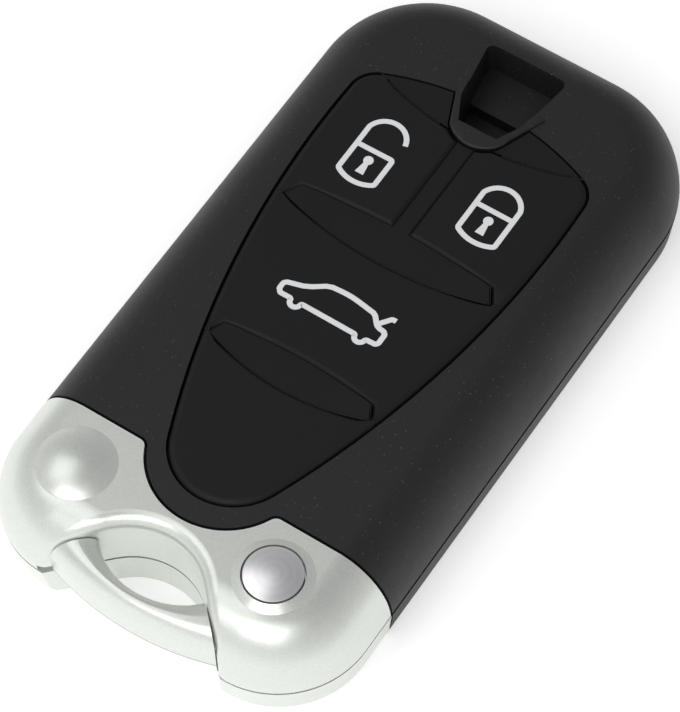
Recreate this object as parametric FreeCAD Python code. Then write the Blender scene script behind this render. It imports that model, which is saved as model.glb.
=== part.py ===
import FreeCAD, Part
import math
import os

# A slot-in car key fob: black two-part case, silver end with a keyring eye, rubber key pad,
# and an emergency key whose curved head closes the eye. All sizes are in millimetres.
# +Z is the button side, +Y points to the end with the latch pocket, the back rests on Z = 0.

# Case
LENGTH = 77.8
WIDTH = 41.0
HEIGHT = 11.5
SEAM_HEIGHT = 4.3
WALL = 1.3
SHOULDER_RUN = 5.8
FAR_CORNER_RADIUS = 12.6
LOBE_CORNER_RADIUS = 9.9
BASE_ROUND = 1.0
SIDE_DRAFT = 0.35
PART_LINE = 0.3
CAP_LENGTH = 14.55
BOW_PROUD = 0.8
LIP_HEIGHT = 1.2
LIP_THICKNESS = 0.7
FIT = 0.1

# Tongue of the black case in the silver end
TONGUE_RADIUS = 7.9
TONGUE_RISE = 2.8
CAP_CORNER_ROUND = 1.2
LEDGE_REACH = 1.0
LEDGE_THICKNESS = 0.9

# Keyring eye
ARCH_RADIUS = 7.5
ARCH_CENTRE_OUT = 0.15
ARCH_ROUND = 1.4

# Dome and release button of the silver end
DOME_X = -11.8
DOME_FROM_END = 8.75
DOME_RADIUS = 4.05
DOME_HEIGHT = 1.2
RELEASE_FROM_KEY = 3.05
RELEASE_FROM_END = 8.85
RELEASE_RADIUS = 2.95
RELEASE_GAP = 0.2
RELEASE_TRAVEL = 1.2
RELEASE_PROUD = 0.75
RELEASE_EDGE = 0.25
RELEASE_FLANGE_RADIUS = 3.6
RELEASE_FLANGE_THICKNESS = 0.85
RELEASE_CROWN = 0.12

# Spring and latch leaf under the release button
SPRING_OFFSET = 1.5
SPRING_RADIUS = 1.7
SPRING_WIRE = 0.35
SPRING_WIRE_SIDES = 12
SPRING_TURNS = 6
SPRING_SEAT_HEIGHT = 3.0
STEM_RADIUS = 1.0
STEM_END_GAP = 0.8
LEAF_THICKNESS = 0.25
LEAF_HEIGHT = 2.0
LEAF_LENGTH = 7.6
LEAF_GAP = 0.35
TOOTH_LENGTH = 1.6
TOOTH_DEPTH = 0.6
TOOTH_OFFSET = 2.3

# Emergency key
KEY_X = 7.9
BOW_OUTER_RADIUS = 31.0
BOW_INNER_RADIUS = 8.5
BOW_MIDDLE_WIDTH = 2.25
BOW_BASE = 4.4
BOW_DEPTH = 5.4
BOW_CREST = 0.58
BOW_OUTER_ROUND = 2.6
BOW_INNER_ROUND = 1.3
BOW_FOOT_ROUND = 0.3
BOW_SPREAD = 1.55
BOW_OVERRUN = 0.85
BOW_GAP = 0.12
ROOT_WIDTH = 3.2
ROOT_HEIGHT = 4.4
ROOT_LENGTH = 11.0
ROOT_DROP = 1.0
BLADE_THICKNESS = 1.8
BLADE_HEIGHT = 4.2
GUIDE_TO_SWITCH = 3.5
BLADE_POINT = 1.4
BLADE_GROOVE_DEPTH = 0.4
BLADE_GROOVE_HEIGHT = 1.4
TANG_THICKNESS = 1.2
TANG_HEIGHT = 3.0
TANG_LENGTH = 8.0
PIN_RADIUS = 0.58
PIN_INSET = 2.67
PIN_CLEARANCE = 0.03
KEY_CLEARANCE = 0.15
GUIDE_WALL = 0.8
GUIDE_SETBACK = 0.8

# Key pad
PAD_GAP = 0.2
PAD_FAR_INSET = 12.0
PAD_END_INSET = 2.4
PAD_HALF_WIDTH = 14.1
PAD_WIDEST_INSET = 9.3
PAD_FOOT_RADIUS = 6.75
PAD_TOP_RADIUS = 31.4
PAD_SHOULDER_RADIUS = 3.2
PAD_PROUD = 0.25
PAD_ROUND = 0.7
LAND_SINK = 0.05
WEB_THICKNESS = 0.58
WEB_RIM = 1.0
WEB_SEAT = 0.02
BUTTON_TRAVEL = 0.3
BUTTON_TRAVEL_SPARE = 0.12
BUTTON_GAP = 0.12
BAR_HALF_WIDTH = 0.85
LAND_SHOULDER = 0.92
LAND_SHOULDER_RISE = 0.65
TOP_LAND_INSET = 4.55
TOP_LAND_RISE = 2.7
TOP_LAND_HALF = 13.2
MID_LAND_INSET = 19.9
MID_LAND_HALF = 12.0
MID_LAND_UP = 2.4
MID_LAND_DOWN = 1.7
LOW_LAND_INSET = 15.95
LOW_LAND_HALF = 9.2
LOW_LAND_UP = 2.2
LOW_LAND_DOWN = 1.6
LOCK_KEYS_INSET = 11.95
UNLOCK_X = -7.35
LOCK_X = 6.65
BOOT_X = -0.5
BUTTON_STEM_RADIUS = 1.3
STEM_HOLE_RADIUS = 1.6

# Latch pocket and the lip round its near part
POCKET_FAR_INSET = 5.35
POCKET_MID_INSET = 12.5
POCKET_LOW_INSET = 15.25
POCKET_HALF_TOP = 4.6
POCKET_HALF_MID = 3.65
POCKET_HALF_LOW = 2.25
POCKET_CORNER = 0.8
POCKET_DEPTH = 4.3
POCKET_DEEP = 5.9
POCKET_STEP_INSET = 10.35
POCKET_WALL = 1.0
COLLAR_HALF_TOP = 5.2
COLLAR_TOP_INSET = 10.45
COLLAR_HALF_LOW = 2.85
COLLAR_SHOULDER_INSET = 15.95
COLLAR_END_INSET = 17.3
COLLAR_PROUD = 0.3
COLLAR_ROUND = 0.24

# Electronics
BOARD_SIDE_INSET = 3.9
BOARD_FAR_INSET = 18.2
BOARD_NEAR_INSET = 5.85
BOARD_THICKNESS = 0.8
BOARD_CORNER = 2.0
BOARD_CLEARANCE = 0.25
POST_RADIUS = 1.3
POST_PIN_RADIUS = 0.6
POST_INSET = 2.0
SWITCH_SIZE = 4.5
SWITCH_HEIGHT = 1.5
SWITCH_CORNER = 0.45
PLUNGER_RADIUS = 0.9
PLUNGER_PROUD = 0.4
PLUNGER_LENGTH = 1.35
PLUNGER_CLEARANCE = 0.1
TOUCH = 0.05
CHIP_SIDE_INSET = 6.6
CHIP_SIZE = 6.0
CHIP_HEIGHT = 1.0
CHIP_LEADS = 6
LEAD_WIDTH = 0.35
LEAD_LENGTH = 0.8
LEAD_HEIGHT = 0.3
CRYSTAL_X = -1.5
CRYSTAL_INSET = 13.6
CRYSTAL_SIZE = (4.8, 2.0, 1.1)
CRYSTAL_ROUND = 0.9
ANTENNA_SIDE_INSET = 8.1
ANTENNA_INSET = 3.9
ANTENNA_SIZE = (9.0, 2.6, 2.2)
WINDING_LENGTH = 5.4
WINDING_THICKNESS = 0.35
CELL_RADIUS = 10.0
CELL_HEIGHT = 3.2
CELL_X = -5.6
CELL_INSET = 13.5
CELL_LIFT = 0.45
CELL_FIT = 0.2
CELL_RIM = 0.5
WELL_WALL = 0.8
WELL_HEIGHT = 2.0
CONTACT_WIDTH = 3.6
CONTACT_THICKNESS = 0.2
CONTACT_HALF_LENGTH = 6.0
CONTACT_RISE = 0.65

# Frame under the rim of the pad
FRAME_THICKNESS = 0.8
FRAME_OUT = 1.0
FRAME_IN = 0.9
FRAME_POST_RADIUS = 0.9
FRAME_END_POST_INSET = 1.3

# Screws of the silver end
SCREW_SHANK_RADIUS = 0.75
SCREW_HEAD_RADIUS = 1.5
SCREW_HEAD_HEIGHT = 1.1
SCREW_SINK = 0.35
SCREW_REACH = 8.4
SCREW_SLOT = 0.4
BOSS_WALL = 0.95
SIDE_SCREW_INSET = 3.6
SIDE_SCREW_SETBACK = 2.05

# Places that follow from the sizes above
FAR_Y = LENGTH / 2
BOW_Y = -LENGTH / 2
END_Y = BOW_Y + BOW_PROUD
LIMIT_Y = END_Y + CAP_LENGTH
CEILING = HEIGHT - WALL
RELEASE_X = KEY_X + RELEASE_FROM_KEY
SHOULDER_DROP = HEIGHT - SEAM_HEIGHT
ARCH_Y = END_Y - ARCH_CENTRE_OUT
WEDGE_Y = ARCH_Y + ARCH_RADIUS * math.sqrt(2.0)
DOME_Y = END_Y + DOME_FROM_END
RELEASE_Y = END_Y + RELEASE_FROM_END
SPRING_X = RELEASE_X + SPRING_OFFSET
FLANGE_TOP = CEILING - FIT
FLANGE_BASE = FLANGE_TOP - RELEASE_FLANGE_THICKNESS
TONGUE_Y = LIMIT_Y + TONGUE_RISE
PAD_TOP_Y = FAR_Y - PAD_FAR_INSET
PAD_END_Y = TONGUE_Y - TONGUE_RADIUS + PAD_END_INSET
PAD_WIDEST_Y = PAD_TOP_Y - PAD_WIDEST_INSET
PAD_DROP = PAD_WIDEST_Y - PAD_END_Y
PAD_CHORD = PAD_HALF_WIDTH ** 2 + PAD_DROP ** 2 - 2 * PAD_DROP * PAD_FOOT_RADIUS
PAD_SIDE_RADIUS = PAD_CHORD / (2 * (PAD_HALF_WIDTH - PAD_FOOT_RADIUS))
TOP_LAND_Y = PAD_TOP_Y - TOP_LAND_INSET
MID_LAND_Y = PAD_TOP_Y - MID_LAND_INSET
LOW_LAND_Y = PAD_END_Y + LOW_LAND_INSET
UNLOCK_AT = (UNLOCK_X, PAD_TOP_Y - LOCK_KEYS_INSET)
LOCK_AT = (LOCK_X, PAD_TOP_Y - LOCK_KEYS_INSET)
BOOT_AT = (BOOT_X, (MID_LAND_Y + LOW_LAND_Y) / 2)
POCKET_TOP_Y = FAR_Y - POCKET_FAR_INSET
POCKET_MID_Y = FAR_Y - POCKET_MID_INSET
POCKET_LOW_Y = FAR_Y - POCKET_LOW_INSET
POCKET_STEP_Y = FAR_Y - POCKET_STEP_INSET
COLLAR_TOP_Y = FAR_Y - COLLAR_TOP_INSET
COLLAR_SHOULDER_Y = FAR_Y - COLLAR_SHOULDER_INSET
COLLAR_END_Y = FAR_Y - COLLAR_END_INSET
WEB_TOP = CEILING - WEB_SEAT
WEB_BASE = WEB_TOP - WEB_THICKNESS
PAD_TOP = HEIGHT + PAD_PROUD
CAP_BASE = WEB_TOP + BUTTON_TRAVEL + BUTTON_TRAVEL_SPARE
LAND_TOP = HEIGHT - LAND_SINK
FRAME_TOP = WEB_BASE - TOUCH
FRAME_BASE = FRAME_TOP - FRAME_THICKNESS
CELL_BASE = WALL + CELL_LIFT
CELL_TOP = CELL_BASE + CELL_HEIGHT
BOARD_HALF_WIDTH = WIDTH / 2 - BOARD_SIDE_INSET
BOARD_FAR_Y = FAR_Y - BOARD_FAR_INSET
BOARD_NEAR_Y = LIMIT_Y + BOARD_NEAR_INSET
CHIP_AT = (CHIP_SIDE_INSET - BOARD_HALF_WIDTH, (LOCK_AT[1] + BOOT_AT[1]) / 2)
CRYSTAL_AT = (CRYSTAL_X, BOARD_FAR_Y - CRYSTAL_INSET)
ANTENNA_AT = (ANTENNA_SIDE_INSET - BOARD_HALF_WIDTH, BOARD_NEAR_Y + ANTENNA_INSET)
CELL_AT = (CELL_X, BOARD_NEAR_Y + CELL_INSET)
BOARD_BASE = CELL_TOP + CONTACT_RISE
BOARD_TOP = BOARD_BASE + BOARD_THICKNESS
SWITCH_TOP = BOARD_TOP + SWITCH_HEIGHT
PLUNGER_TOP = SWITCH_TOP + PLUNGER_PROUD
STEM_BASE = PLUNGER_TOP + TOUCH
BOW_TOP = BOW_BASE + BOW_DEPTH
ROOT_BASE = BOW_BASE - ROOT_DROP
ROOT_TOP = ROOT_BASE + ROOT_HEIGHT
BLADE_BASE = ROOT_BASE + (ROOT_HEIGHT - BLADE_HEIGHT) / 2
BLADE_TOP = BLADE_BASE + BLADE_HEIGHT
KEY_MID_Z = ROOT_BASE + ROOT_HEIGHT / 2
ROOT_INNER_Y = WEDGE_Y - KEY_X + ROOT_LENGTH
GUIDE_HALF = BLADE_THICKNESS / 2 + KEY_CLEARANCE + GUIDE_WALL
GUIDE_END_Y = LOCK_AT[1] - SWITCH_SIZE / 2 - GUIDE_TO_SWITCH
BLADE_TIP_Y = GUIDE_END_Y - GUIDE_WALL - KEY_CLEARANCE
LEAF_X = KEY_X + ROOT_WIDTH / 2 + LEAF_GAP
TOOTH_Y = RELEASE_Y - TOOTH_OFFSET
LEAF_BASE = KEY_MID_Z - LEAF_HEIGHT / 2


def vec(x, y, z=0.0):
    return FreeCAD.Vector(x, y, z)


def line(a, b):
    return Part.LineSegment(a, b).toShape()


def arc(a, b, c):
    return Part.Arc(a, b, c).toShape()


def box(x0, x1, y0, y1, z0, z1):
    return Part.makeBox(x1 - x0, y1 - y0, z1 - z0, vec(x0, y0, z0))


def rod(x, y, z0, z1, radius):
    return Part.makeCylinder(radius, z1 - z0, vec(x, y, z0))


def prism(wire, z0, z1):
    """Extrudes a flat closed outline, drawn at Z = 0, from z0 to z1."""
    face = Part.Face(wire)
    face.translate(vec(0, 0, z0))
    return face.extrude(vec(0, 0, z1 - z0))


def polygon(points):
    corners = [vec(*p) for p in points]
    return Part.makePolygon(corners + corners[:1])


def joined(first, *others):
    return first.fuse(list(others)).removeSplitter()


def grown(wire, distance):
    """Offsets a flat outline outwards, or inwards for a negative distance."""
    return wire.makeOffset2D(distance, 2, False, False)


def quarter_ellipse(start, corner, end):
    """An exact quarter ellipse from start to end, whose tangents meet at corner."""
    curve = Part.BezierCurve()
    curve.setPoles([start, corner, end])
    curve.setWeight(2, math.sqrt(0.5))
    return curve.toShape()


def half_section(reach, inset):
    """Half of the case's cross-section in the XZ plane, from its axis out to reach."""
    base_round = max(BASE_ROUND - inset, BASE_ROUND / 4)
    out = reach - inset
    foot = out - SIDE_DRAFT
    low = vec(0, 0, inset)
    high = vec(0, 0, HEIGHT - inset)
    shoulder = reach - SHOULDER_RUN
    bend = base_round * (1 - math.sqrt(0.5))
    edges = [
        line(low, vec(foot - base_round, 0, inset)),
        arc(
            vec(foot - base_round, 0, inset),
            vec(foot - bend, 0, inset + bend),
            vec(foot, 0, inset + base_round),
        ),
        line(vec(foot, 0, inset + base_round), vec(out, 0, SEAM_HEIGHT)),
        quarter_ellipse(
            vec(out, 0, SEAM_HEIGHT),
            vec(out, 0, HEIGHT - inset),
            vec(shoulder, 0, HEIGHT - inset),
        ),
        line(vec(shoulder, 0, HEIGHT - inset), high),
        line(high, low),
    ]
    return Part.Face(Part.Wire(edges))


def run(reach, inset, turn, start, length):
    """The half section faced along turn degrees and drawn out sideways from start."""
    piece = half_section(reach, inset).extrude(vec(0, length, 0))
    piece.rotate(vec(0, 0), vec(0, 0, 1), turn)
    piece.translate(start)
    return piece


def corner(radius, inset, turn, centre):
    """A quarter turn of the half section round an upright axis."""
    piece = half_section(radius, inset).revolve(vec(0, 0), vec(0, 0, 1), 90)
    piece.rotate(vec(0, 0), vec(0, 0, 1), turn)
    piece.translate(centre)
    return piece


def case_blank(inset):
    """The whole outer form of the case, or the same form set in by inset."""
    far_x = WIDTH / 2 - FAR_CORNER_RADIUS
    far_y = FAR_Y - FAR_CORNER_RADIUS
    near_x = WIDTH / 2 - LOBE_CORNER_RADIUS
    near_y = END_Y + LOBE_CORNER_RADIUS
    pieces = [
        run(WIDTH / 2, inset, 0, vec(0, near_y), far_y - near_y),
        run(WIDTH / 2, inset, 180, vec(0, far_y), far_y - near_y),
        run(FAR_CORNER_RADIUS, inset, 90, vec(far_x, far_y), 2 * far_x),
        run(LOBE_CORNER_RADIUS, inset, -90, vec(-near_x, near_y), 2 * near_x),
        corner(FAR_CORNER_RADIUS, inset, 0, vec(far_x, far_y)),
        corner(FAR_CORNER_RADIUS, inset, 90, vec(-far_x, far_y)),
        corner(LOBE_CORNER_RADIUS, inset, 180, vec(-near_x, near_y)),
        corner(LOBE_CORNER_RADIUS, inset, 270, vec(near_x, near_y)),
    ]
    return joined(*pieces)


def arch_wire(offset):
    """Outline of the space under the arch: a quarter turn that runs on in two diagonals."""
    radius = ARCH_RADIUS + offset
    side = radius * math.sqrt(0.5)
    left = vec(-side, ARCH_Y + side)
    right = vec(side, ARCH_Y + side)
    left_end = left + vec(-LENGTH, -LENGTH)
    right_end = right + vec(LENGTH, -LENGTH)
    return Part.Wire([
        line(left_end, left),
        arc(left, vec(0, ARCH_Y + radius), right),
        line(right, right_end),
        line(right_end, left_end),
    ])


def arch_prism(offset):
    return prism(arch_wire(offset), -HEIGHT, 2 * HEIGHT)


def wedge_wire(offset):
    """The two diagonal walls carried on to a point, moved into the lobes by offset."""
    tip = vec(0, WEDGE_Y + offset * math.sqrt(2.0))
    return polygon([tip, tip + vec(-LENGTH, -LENGTH), tip + vec(LENGTH, -LENGTH)])


def cap_wire(gap):
    """Outline of the silver end's side of the colour line, set back by gap."""
    radius = TONGUE_RADIUS + gap
    corner_round = CAP_CORNER_ROUND - gap
    limit = LIMIT_Y - gap
    reach = TONGUE_RADIUS + CAP_CORNER_ROUND
    drop = TONGUE_Y - (LIMIT_Y - CAP_CORNER_ROUND)
    corner_x = math.sqrt(reach ** 2 - drop ** 2)
    corner_y = TONGUE_Y - drop
    meet = vec(corner_x * radius / reach, TONGUE_Y - drop * radius / reach)
    start = math.pi / 2
    finish = math.atan2(meet.y - corner_y, meet.x - corner_x)
    half = (start + finish) / 2
    bend = vec(corner_x + corner_round * math.cos(half), corner_y + corner_round * math.sin(half))
    top = vec(corner_x, limit)
    mirrored = [vec(-p.x, p.y) for p in (meet, bend, top)]
    return Part.Wire([
        line(vec(-WIDTH, limit), mirrored[2]),
        arc(mirrored[2], mirrored[1], mirrored[0]),
        arc(mirrored[0], vec(0, TONGUE_Y - radius), meet),
        arc(meet, bend, top),
        line(top, vec(WIDTH, limit)),
        line(vec(WIDTH, limit), vec(WIDTH, -LENGTH)),
        line(vec(WIDTH, -LENGTH), vec(-WIDTH, -LENGTH)),
        line(vec(-WIDTH, -LENGTH), vec(-WIDTH, limit)),
    ])


def sweep(centre, radius, start, finish):
    """Arc round centre between two angles in radians."""
    def at(angle):
        return centre + vec(math.cos(angle), math.sin(angle)) * radius

    return arc(at(start), at((start + finish) / 2), at(finish))


def right_meeting(centre_a, radius_a, centre_b, radius_b):
    """The point on the right where two circles meet."""
    across = centre_b - centre_a
    along = (radius_a ** 2 - radius_b ** 2 + across.Length ** 2) / (2 * across.Length)
    height = math.sqrt(radius_a ** 2 - along ** 2)
    unit = across.normalize()
    middle = centre_a + unit * along
    found = [middle + vec(-unit.y, unit.x) * s for s in (height, -height)]
    return max(found, key=lambda point: point.x)


def pad_wire(grow=0.0):
    """Outline of the key pad, a shield of eight arcs that run into each other, grown by grow."""
    side = vec(PAD_HALF_WIDTH - PAD_SIDE_RADIUS, PAD_WIDEST_Y)
    top = vec(0, PAD_TOP_Y - PAD_TOP_RADIUS)
    shoulder = right_meeting(
        side, PAD_SIDE_RADIUS - PAD_SHOULDER_RADIUS, top, PAD_TOP_RADIUS - PAD_SHOULDER_RADIUS
    )
    foot = vec(0, PAD_END_Y + PAD_FOOT_RADIUS)
    high = math.atan2(shoulder.y - top.y, shoulder.x - top.x)
    upper = math.atan2(shoulder.y - side.y, shoulder.x - side.x)
    lower = math.atan2(foot.y - side.y, foot.x - side.x)
    arcs = [
        sweep(top, PAD_TOP_RADIUS + grow, high, math.pi - high),
        sweep(foot, PAD_FOOT_RADIUS + grow, -math.pi - lower, lower),
    ]
    for centre, radius, start, finish in (
        (shoulder, PAD_SHOULDER_RADIUS + grow, upper, high),
        (side, PAD_SIDE_RADIUS + grow, lower, upper),
    ):
        arcs.append(sweep(centre, radius, start, finish))
        mirrored = vec(-centre.x, centre.y)
        arcs.append(sweep(mirrored, radius, math.pi - start, math.pi - finish))
    return Part.Wire(Part.__sortEdges__(arcs))


def pad_half_width(y):
    """Distance from the middle to the long side arc of the pad."""
    return PAD_HALF_WIDTH - PAD_SIDE_RADIUS + math.sqrt(PAD_SIDE_RADIUS ** 2 - (y - PAD_WIDEST_Y) ** 2)


def pocket_wire():
    """Outline of the latch pocket: straight far edge, sides that close in towards the pad."""
    half = POCKET_HALF_TOP
    inner = half - POCKET_CORNER
    low = POCKET_TOP_Y - POCKET_CORNER
    bend = POCKET_CORNER * math.sqrt(0.5)
    return Part.Wire([
        line(vec(-POCKET_HALF_LOW, POCKET_LOW_Y), vec(POCKET_HALF_LOW, POCKET_LOW_Y)),
        line(vec(POCKET_HALF_LOW, POCKET_LOW_Y), vec(POCKET_HALF_MID, POCKET_MID_Y)),
        line(vec(POCKET_HALF_MID, POCKET_MID_Y), vec(half, low)),
        arc(vec(half, low), vec(inner + bend, low + bend), vec(inner, POCKET_TOP_Y)),
        line(vec(inner, POCKET_TOP_Y), vec(-inner, POCKET_TOP_Y)),
        arc(vec(-inner, POCKET_TOP_Y), vec(-inner - bend, low + bend), vec(-half, low)),
        line(vec(-half, low), vec(-POCKET_HALF_MID, POCKET_MID_Y)),
        line(vec(-POCKET_HALF_MID, POCKET_MID_Y), vec(-POCKET_HALF_LOW, POCKET_LOW_Y)),
    ])


def collar_wire():
    """Outline of the lip that carries the case round the near part of the pocket."""
    return Part.Wire([
        line(vec(-COLLAR_HALF_TOP, COLLAR_TOP_Y), vec(-COLLAR_HALF_LOW, COLLAR_SHOULDER_Y)),
        arc(
            vec(-COLLAR_HALF_LOW, COLLAR_SHOULDER_Y),
            vec(0, COLLAR_END_Y),
            vec(COLLAR_HALF_LOW, COLLAR_SHOULDER_Y),
        ),
        line(vec(COLLAR_HALF_LOW, COLLAR_SHOULDER_Y), vec(COLLAR_HALF_TOP, COLLAR_TOP_Y)),
        line(vec(COLLAR_HALF_TOP, COLLAR_TOP_Y), vec(-COLLAR_HALF_TOP, COLLAR_TOP_Y)),
    ])


def lens_wire(mid_y, half, up, down, gap):
    """Outline of a land: a long flat arc with steep ends over a shallower one, grown by gap."""
    left = vec(-half - 2 * gap, mid_y)
    right = vec(half + 2 * gap, mid_y)
    high = mid_y + up * LAND_SHOULDER_RISE + gap
    high_left = vec(left.x * LAND_SHOULDER, high)
    high_right = vec(right.x * LAND_SHOULDER, high)
    return Part.Wire([
        line(left, high_left),
        arc(high_left, vec(0, mid_y + up + gap), high_right),
        line(high_right, right),
        arc(right, vec(0, mid_y - down - gap), left),
    ])


def land_wires(gap):
    """The fixed lands between the pressed fields: one at the top, two lenses and the middle bar."""
    top_left = vec(-TOP_LAND_HALF, TOP_LAND_Y + TOP_LAND_RISE - gap)
    top_right = vec(TOP_LAND_HALF, TOP_LAND_Y + TOP_LAND_RISE - gap)
    far_left = vec(-WIDTH / 2, FAR_Y)
    far_right = vec(WIDTH / 2, FAR_Y)
    side_left = vec(-WIDTH / 2, top_left.y)
    side_right = vec(WIDTH / 2, top_right.y)
    top = Part.Wire([
        line(side_left, top_left),
        arc(top_left, vec(0, TOP_LAND_Y - gap), top_right),
        line(top_right, side_right),
        line(side_right, far_right),
        line(far_right, far_left),
        line(far_left, side_left),
    ])
    middle = lens_wire(MID_LAND_Y, MID_LAND_HALF, MID_LAND_UP, MID_LAND_DOWN, gap)
    low = lens_wire(LOW_LAND_Y, LOW_LAND_HALF, LOW_LAND_UP, LOW_LAND_DOWN, gap)
    half = BAR_HALF_WIDTH + gap
    bar = polygon([(-half, MID_LAND_Y), (half, MID_LAND_Y), (half, FAR_Y), (-half, FAR_Y)])
    return [top, middle, low, bar]


def lands(gap, z0, z1):
    pieces = [prism(wire, z0, z1) for wire in land_wires(gap)]
    return pieces[0].fuse(pieces[1:])


def slits():
    """Thin cuts that part the fields from the tips of the two lenses out to the rim."""
    half = BUTTON_GAP / 2
    return [box(-WIDTH, WIDTH, y - half, y + half, 0, 2 * HEIGHT) for y in (MID_LAND_Y, LOW_LAND_Y)]


def pad_fields():
    """The four raised fields of the pad, named by where each one lies."""
    blank = rounded_top(prism(pad_wire(-PAD_GAP), CAP_BASE, PAD_TOP), PAD_ROUND)
    blank = blank.cut(prism(grown(collar_wire(), PAD_GAP), 0, 2 * HEIGHT))
    fields = blank.cut([lands(BUTTON_GAP, 0, 2 * HEIGHT)] + slits()).Solids
    named = {}
    for solid in fields:
        centre = solid.CenterOfMass
        if centre.y < LOW_LAND_Y:
            named["blank"] = solid
        elif centre.y < MID_LAND_Y:
            named["boot"] = solid
        elif centre.x < 0:
            named["unlock"] = solid
        else:
            named["lock"] = solid
    return named


def rounded_top(solid, radius):
    """Rounds the upper edges of a flat-topped solid."""
    top = max(e.BoundBox.ZMax for e in solid.Edges)
    upper = [e for e in solid.Edges if e.BoundBox.ZMin > top - TOUCH]
    return solid.makeFillet(radius, upper)


def above_seam():
    return box(-WIDTH, WIDTH, -LENGTH, LENGTH, SEAM_HEIGHT + PART_LINE / 2, 2 * HEIGHT)


def below_seam():
    return box(-WIDTH, WIDTH, -LENGTH, LENGTH, -HEIGHT, SEAM_HEIGHT - PART_LINE / 2)


def far_side(gap):
    """Everything on the black side of the straight colour line."""
    return box(-WIDTH, WIDTH, LIMIT_Y + gap, LENGTH, -HEIGHT, 2 * HEIGHT)


def pocket_cup():
    """Walls and stepped floor of the latch pocket, hung from the top of the case."""
    outer = prism(grown(pocket_wire(), POCKET_WALL), HEIGHT - POCKET_DEEP - POCKET_WALL, CEILING)
    lip = prism(collar_wire(), CEILING - WALL, HEIGHT + COLLAR_PROUD)
    lip = lip.cut(box(-WIDTH, WIDTH, COLLAR_TOP_Y - FIT, LENGTH, HEIGHT, 2 * HEIGHT))
    return outer.fuse(rounded_top(lip, COLLAR_ROUND))


def pocket_space():
    whole = prism(pocket_wire(), HEIGHT - POCKET_DEEP, 2 * HEIGHT)
    plateau = box(-WIDTH, WIDTH, POCKET_STEP_Y, LENGTH, 0, HEIGHT - POCKET_DEPTH)
    return whole.cut(plateau)


def ledge():
    """Thin ledge of the black case that the silver end laps over."""
    top = CEILING - FIT
    reach = prism(cap_wire(0), top - LEDGE_THICKNESS, top)
    keep = prism(cap_wire(LEDGE_REACH), 0, 2 * HEIGHT)
    strip = reach.cut(keep).common(case_blank(WALL + FIT))
    root = prism(cap_wire(-LEDGE_REACH), top - LEDGE_THICKNESS, CEILING + FIT)
    root = root.cut(prism(cap_wire(0), 0, 2 * HEIGHT)).common(case_blank(WALL / 2))
    radius = SCREW_SHANK_RADIUS + BOSS_WALL + FIT
    bosses = [rod(x, y, 0, HEIGHT, radius) for x, y in screw_places()]
    return strip.cut([arch_prism(WALL + FIT)] + bosses).fuse(root)


def front_shell(outer, cavity):
    shell = outer.cut(cavity).common(above_seam()).cut(prism(cap_wire(0), 0, 2 * HEIGHT))
    opening = prism(pad_wire(), 0, 2 * HEIGHT)
    under_rim = prism(pad_wire(WEB_RIM + PAD_GAP), 0, CEILING)
    shell = shell.fuse(ledge()).cut([opening, under_rim])
    return shell.fuse(pocket_cup()).cut(pocket_space()).removeSplitter()


def rim_lip(outer_inset, z0, z1):
    ring = case_blank(outer_inset).cut(case_blank(WALL + FIT + LIP_THICKNESS))
    return ring.common(box(-WIDTH, WIDTH, LIMIT_Y + WALL, LENGTH, z0, z1))


def cell_well():
    radius = CELL_RADIUS + CELL_FIT
    ring = rod(*CELL_AT, WALL / 2, WALL + WELL_HEIGHT, radius + WELL_WALL)
    ring = ring.cut(rod(*CELL_AT, WALL, 2 * HEIGHT, radius))
    gap = CONTACT_WIDTH / 2 + CELL_FIT
    x, y = CELL_AT
    return ring.cut(box(x - 2 * radius, x + 2 * radius, y - gap, y + gap, WALL, HEIGHT))


def board_posts():
    """Where the four posts stand, one near each corner of the board."""
    x = BOARD_HALF_WIDTH - POST_INSET
    return [(sx, y) for sx in (-x, x) for y in (BOARD_FAR_Y - POST_INSET, BOARD_NEAR_Y + POST_INSET)]


def rear_shell(outer, cavity):
    shell = outer.cut(cavity).common(below_seam()).common(far_side(PART_LINE / 2))
    low = SEAM_HEIGHT - LIP_HEIGHT
    lip = rim_lip(WALL + FIT, low, SEAM_HEIGHT + LIP_HEIGHT)
    lip = lip.fuse(rim_lip(WALL / 2, low, SEAM_HEIGHT - PART_LINE / 2))
    places = board_posts()
    posts = [rod(x, y, WALL / 2, BOARD_BASE - WEB_SEAT, POST_RADIUS) for x, y in places]
    pins = [rod(x, y, WALL / 2, BOARD_TOP + TOUCH, POST_PIN_RADIUS) for x, y in places]
    return joined(shell, lip, cell_well(), *posts, *pins)


def dome(x, y):
    """A low spherical cap that rises out of the top of the case and sinks into its wall."""
    radius = (DOME_RADIUS ** 2 + DOME_HEIGHT ** 2) / (2 * DOME_HEIGHT)
    ball = Part.makeSphere(radius, vec(x, y, HEIGHT + DOME_HEIGHT - radius))
    return ball.common(rod(x, y, CEILING, 2 * HEIGHT, DOME_RADIUS))


def cap_body(outer, cavity, side):
    """One half of the silver end, with its inner wall round the arch."""
    hollow = cavity.cut(arch_prism(WALL))
    return outer.cut(hollow).common(side).cut(arch_prism(0))


def screw_places():
    """One screw under the dome and one beside the colour line on the button's side."""
    return [(DOME_X, DOME_Y), (WIDTH / 2 - SIDE_SCREW_INSET, LIMIT_Y - SIDE_SCREW_SETBACK)]


def key_slot():
    """Way of the key's root through the wall of the right lobe."""
    half = ROOT_WIDTH / 2 + KEY_CLEARANCE
    return box(
        KEY_X - half, KEY_X + half, -LENGTH, ROOT_INNER_Y,
        ROOT_BASE - KEY_CLEARANCE, ROOT_TOP + KEY_CLEARANCE,
    )


def nose_relief():
    """Small slot in the nose of the left lobe, beside the tip of the bow."""
    x = -bow_tip_x()
    return box(x - WALL, x + WALL, -LENGTH, END_Y + WALL, SEAM_HEIGHT, SEAM_HEIGHT + LEDGE_THICKNESS)


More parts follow.
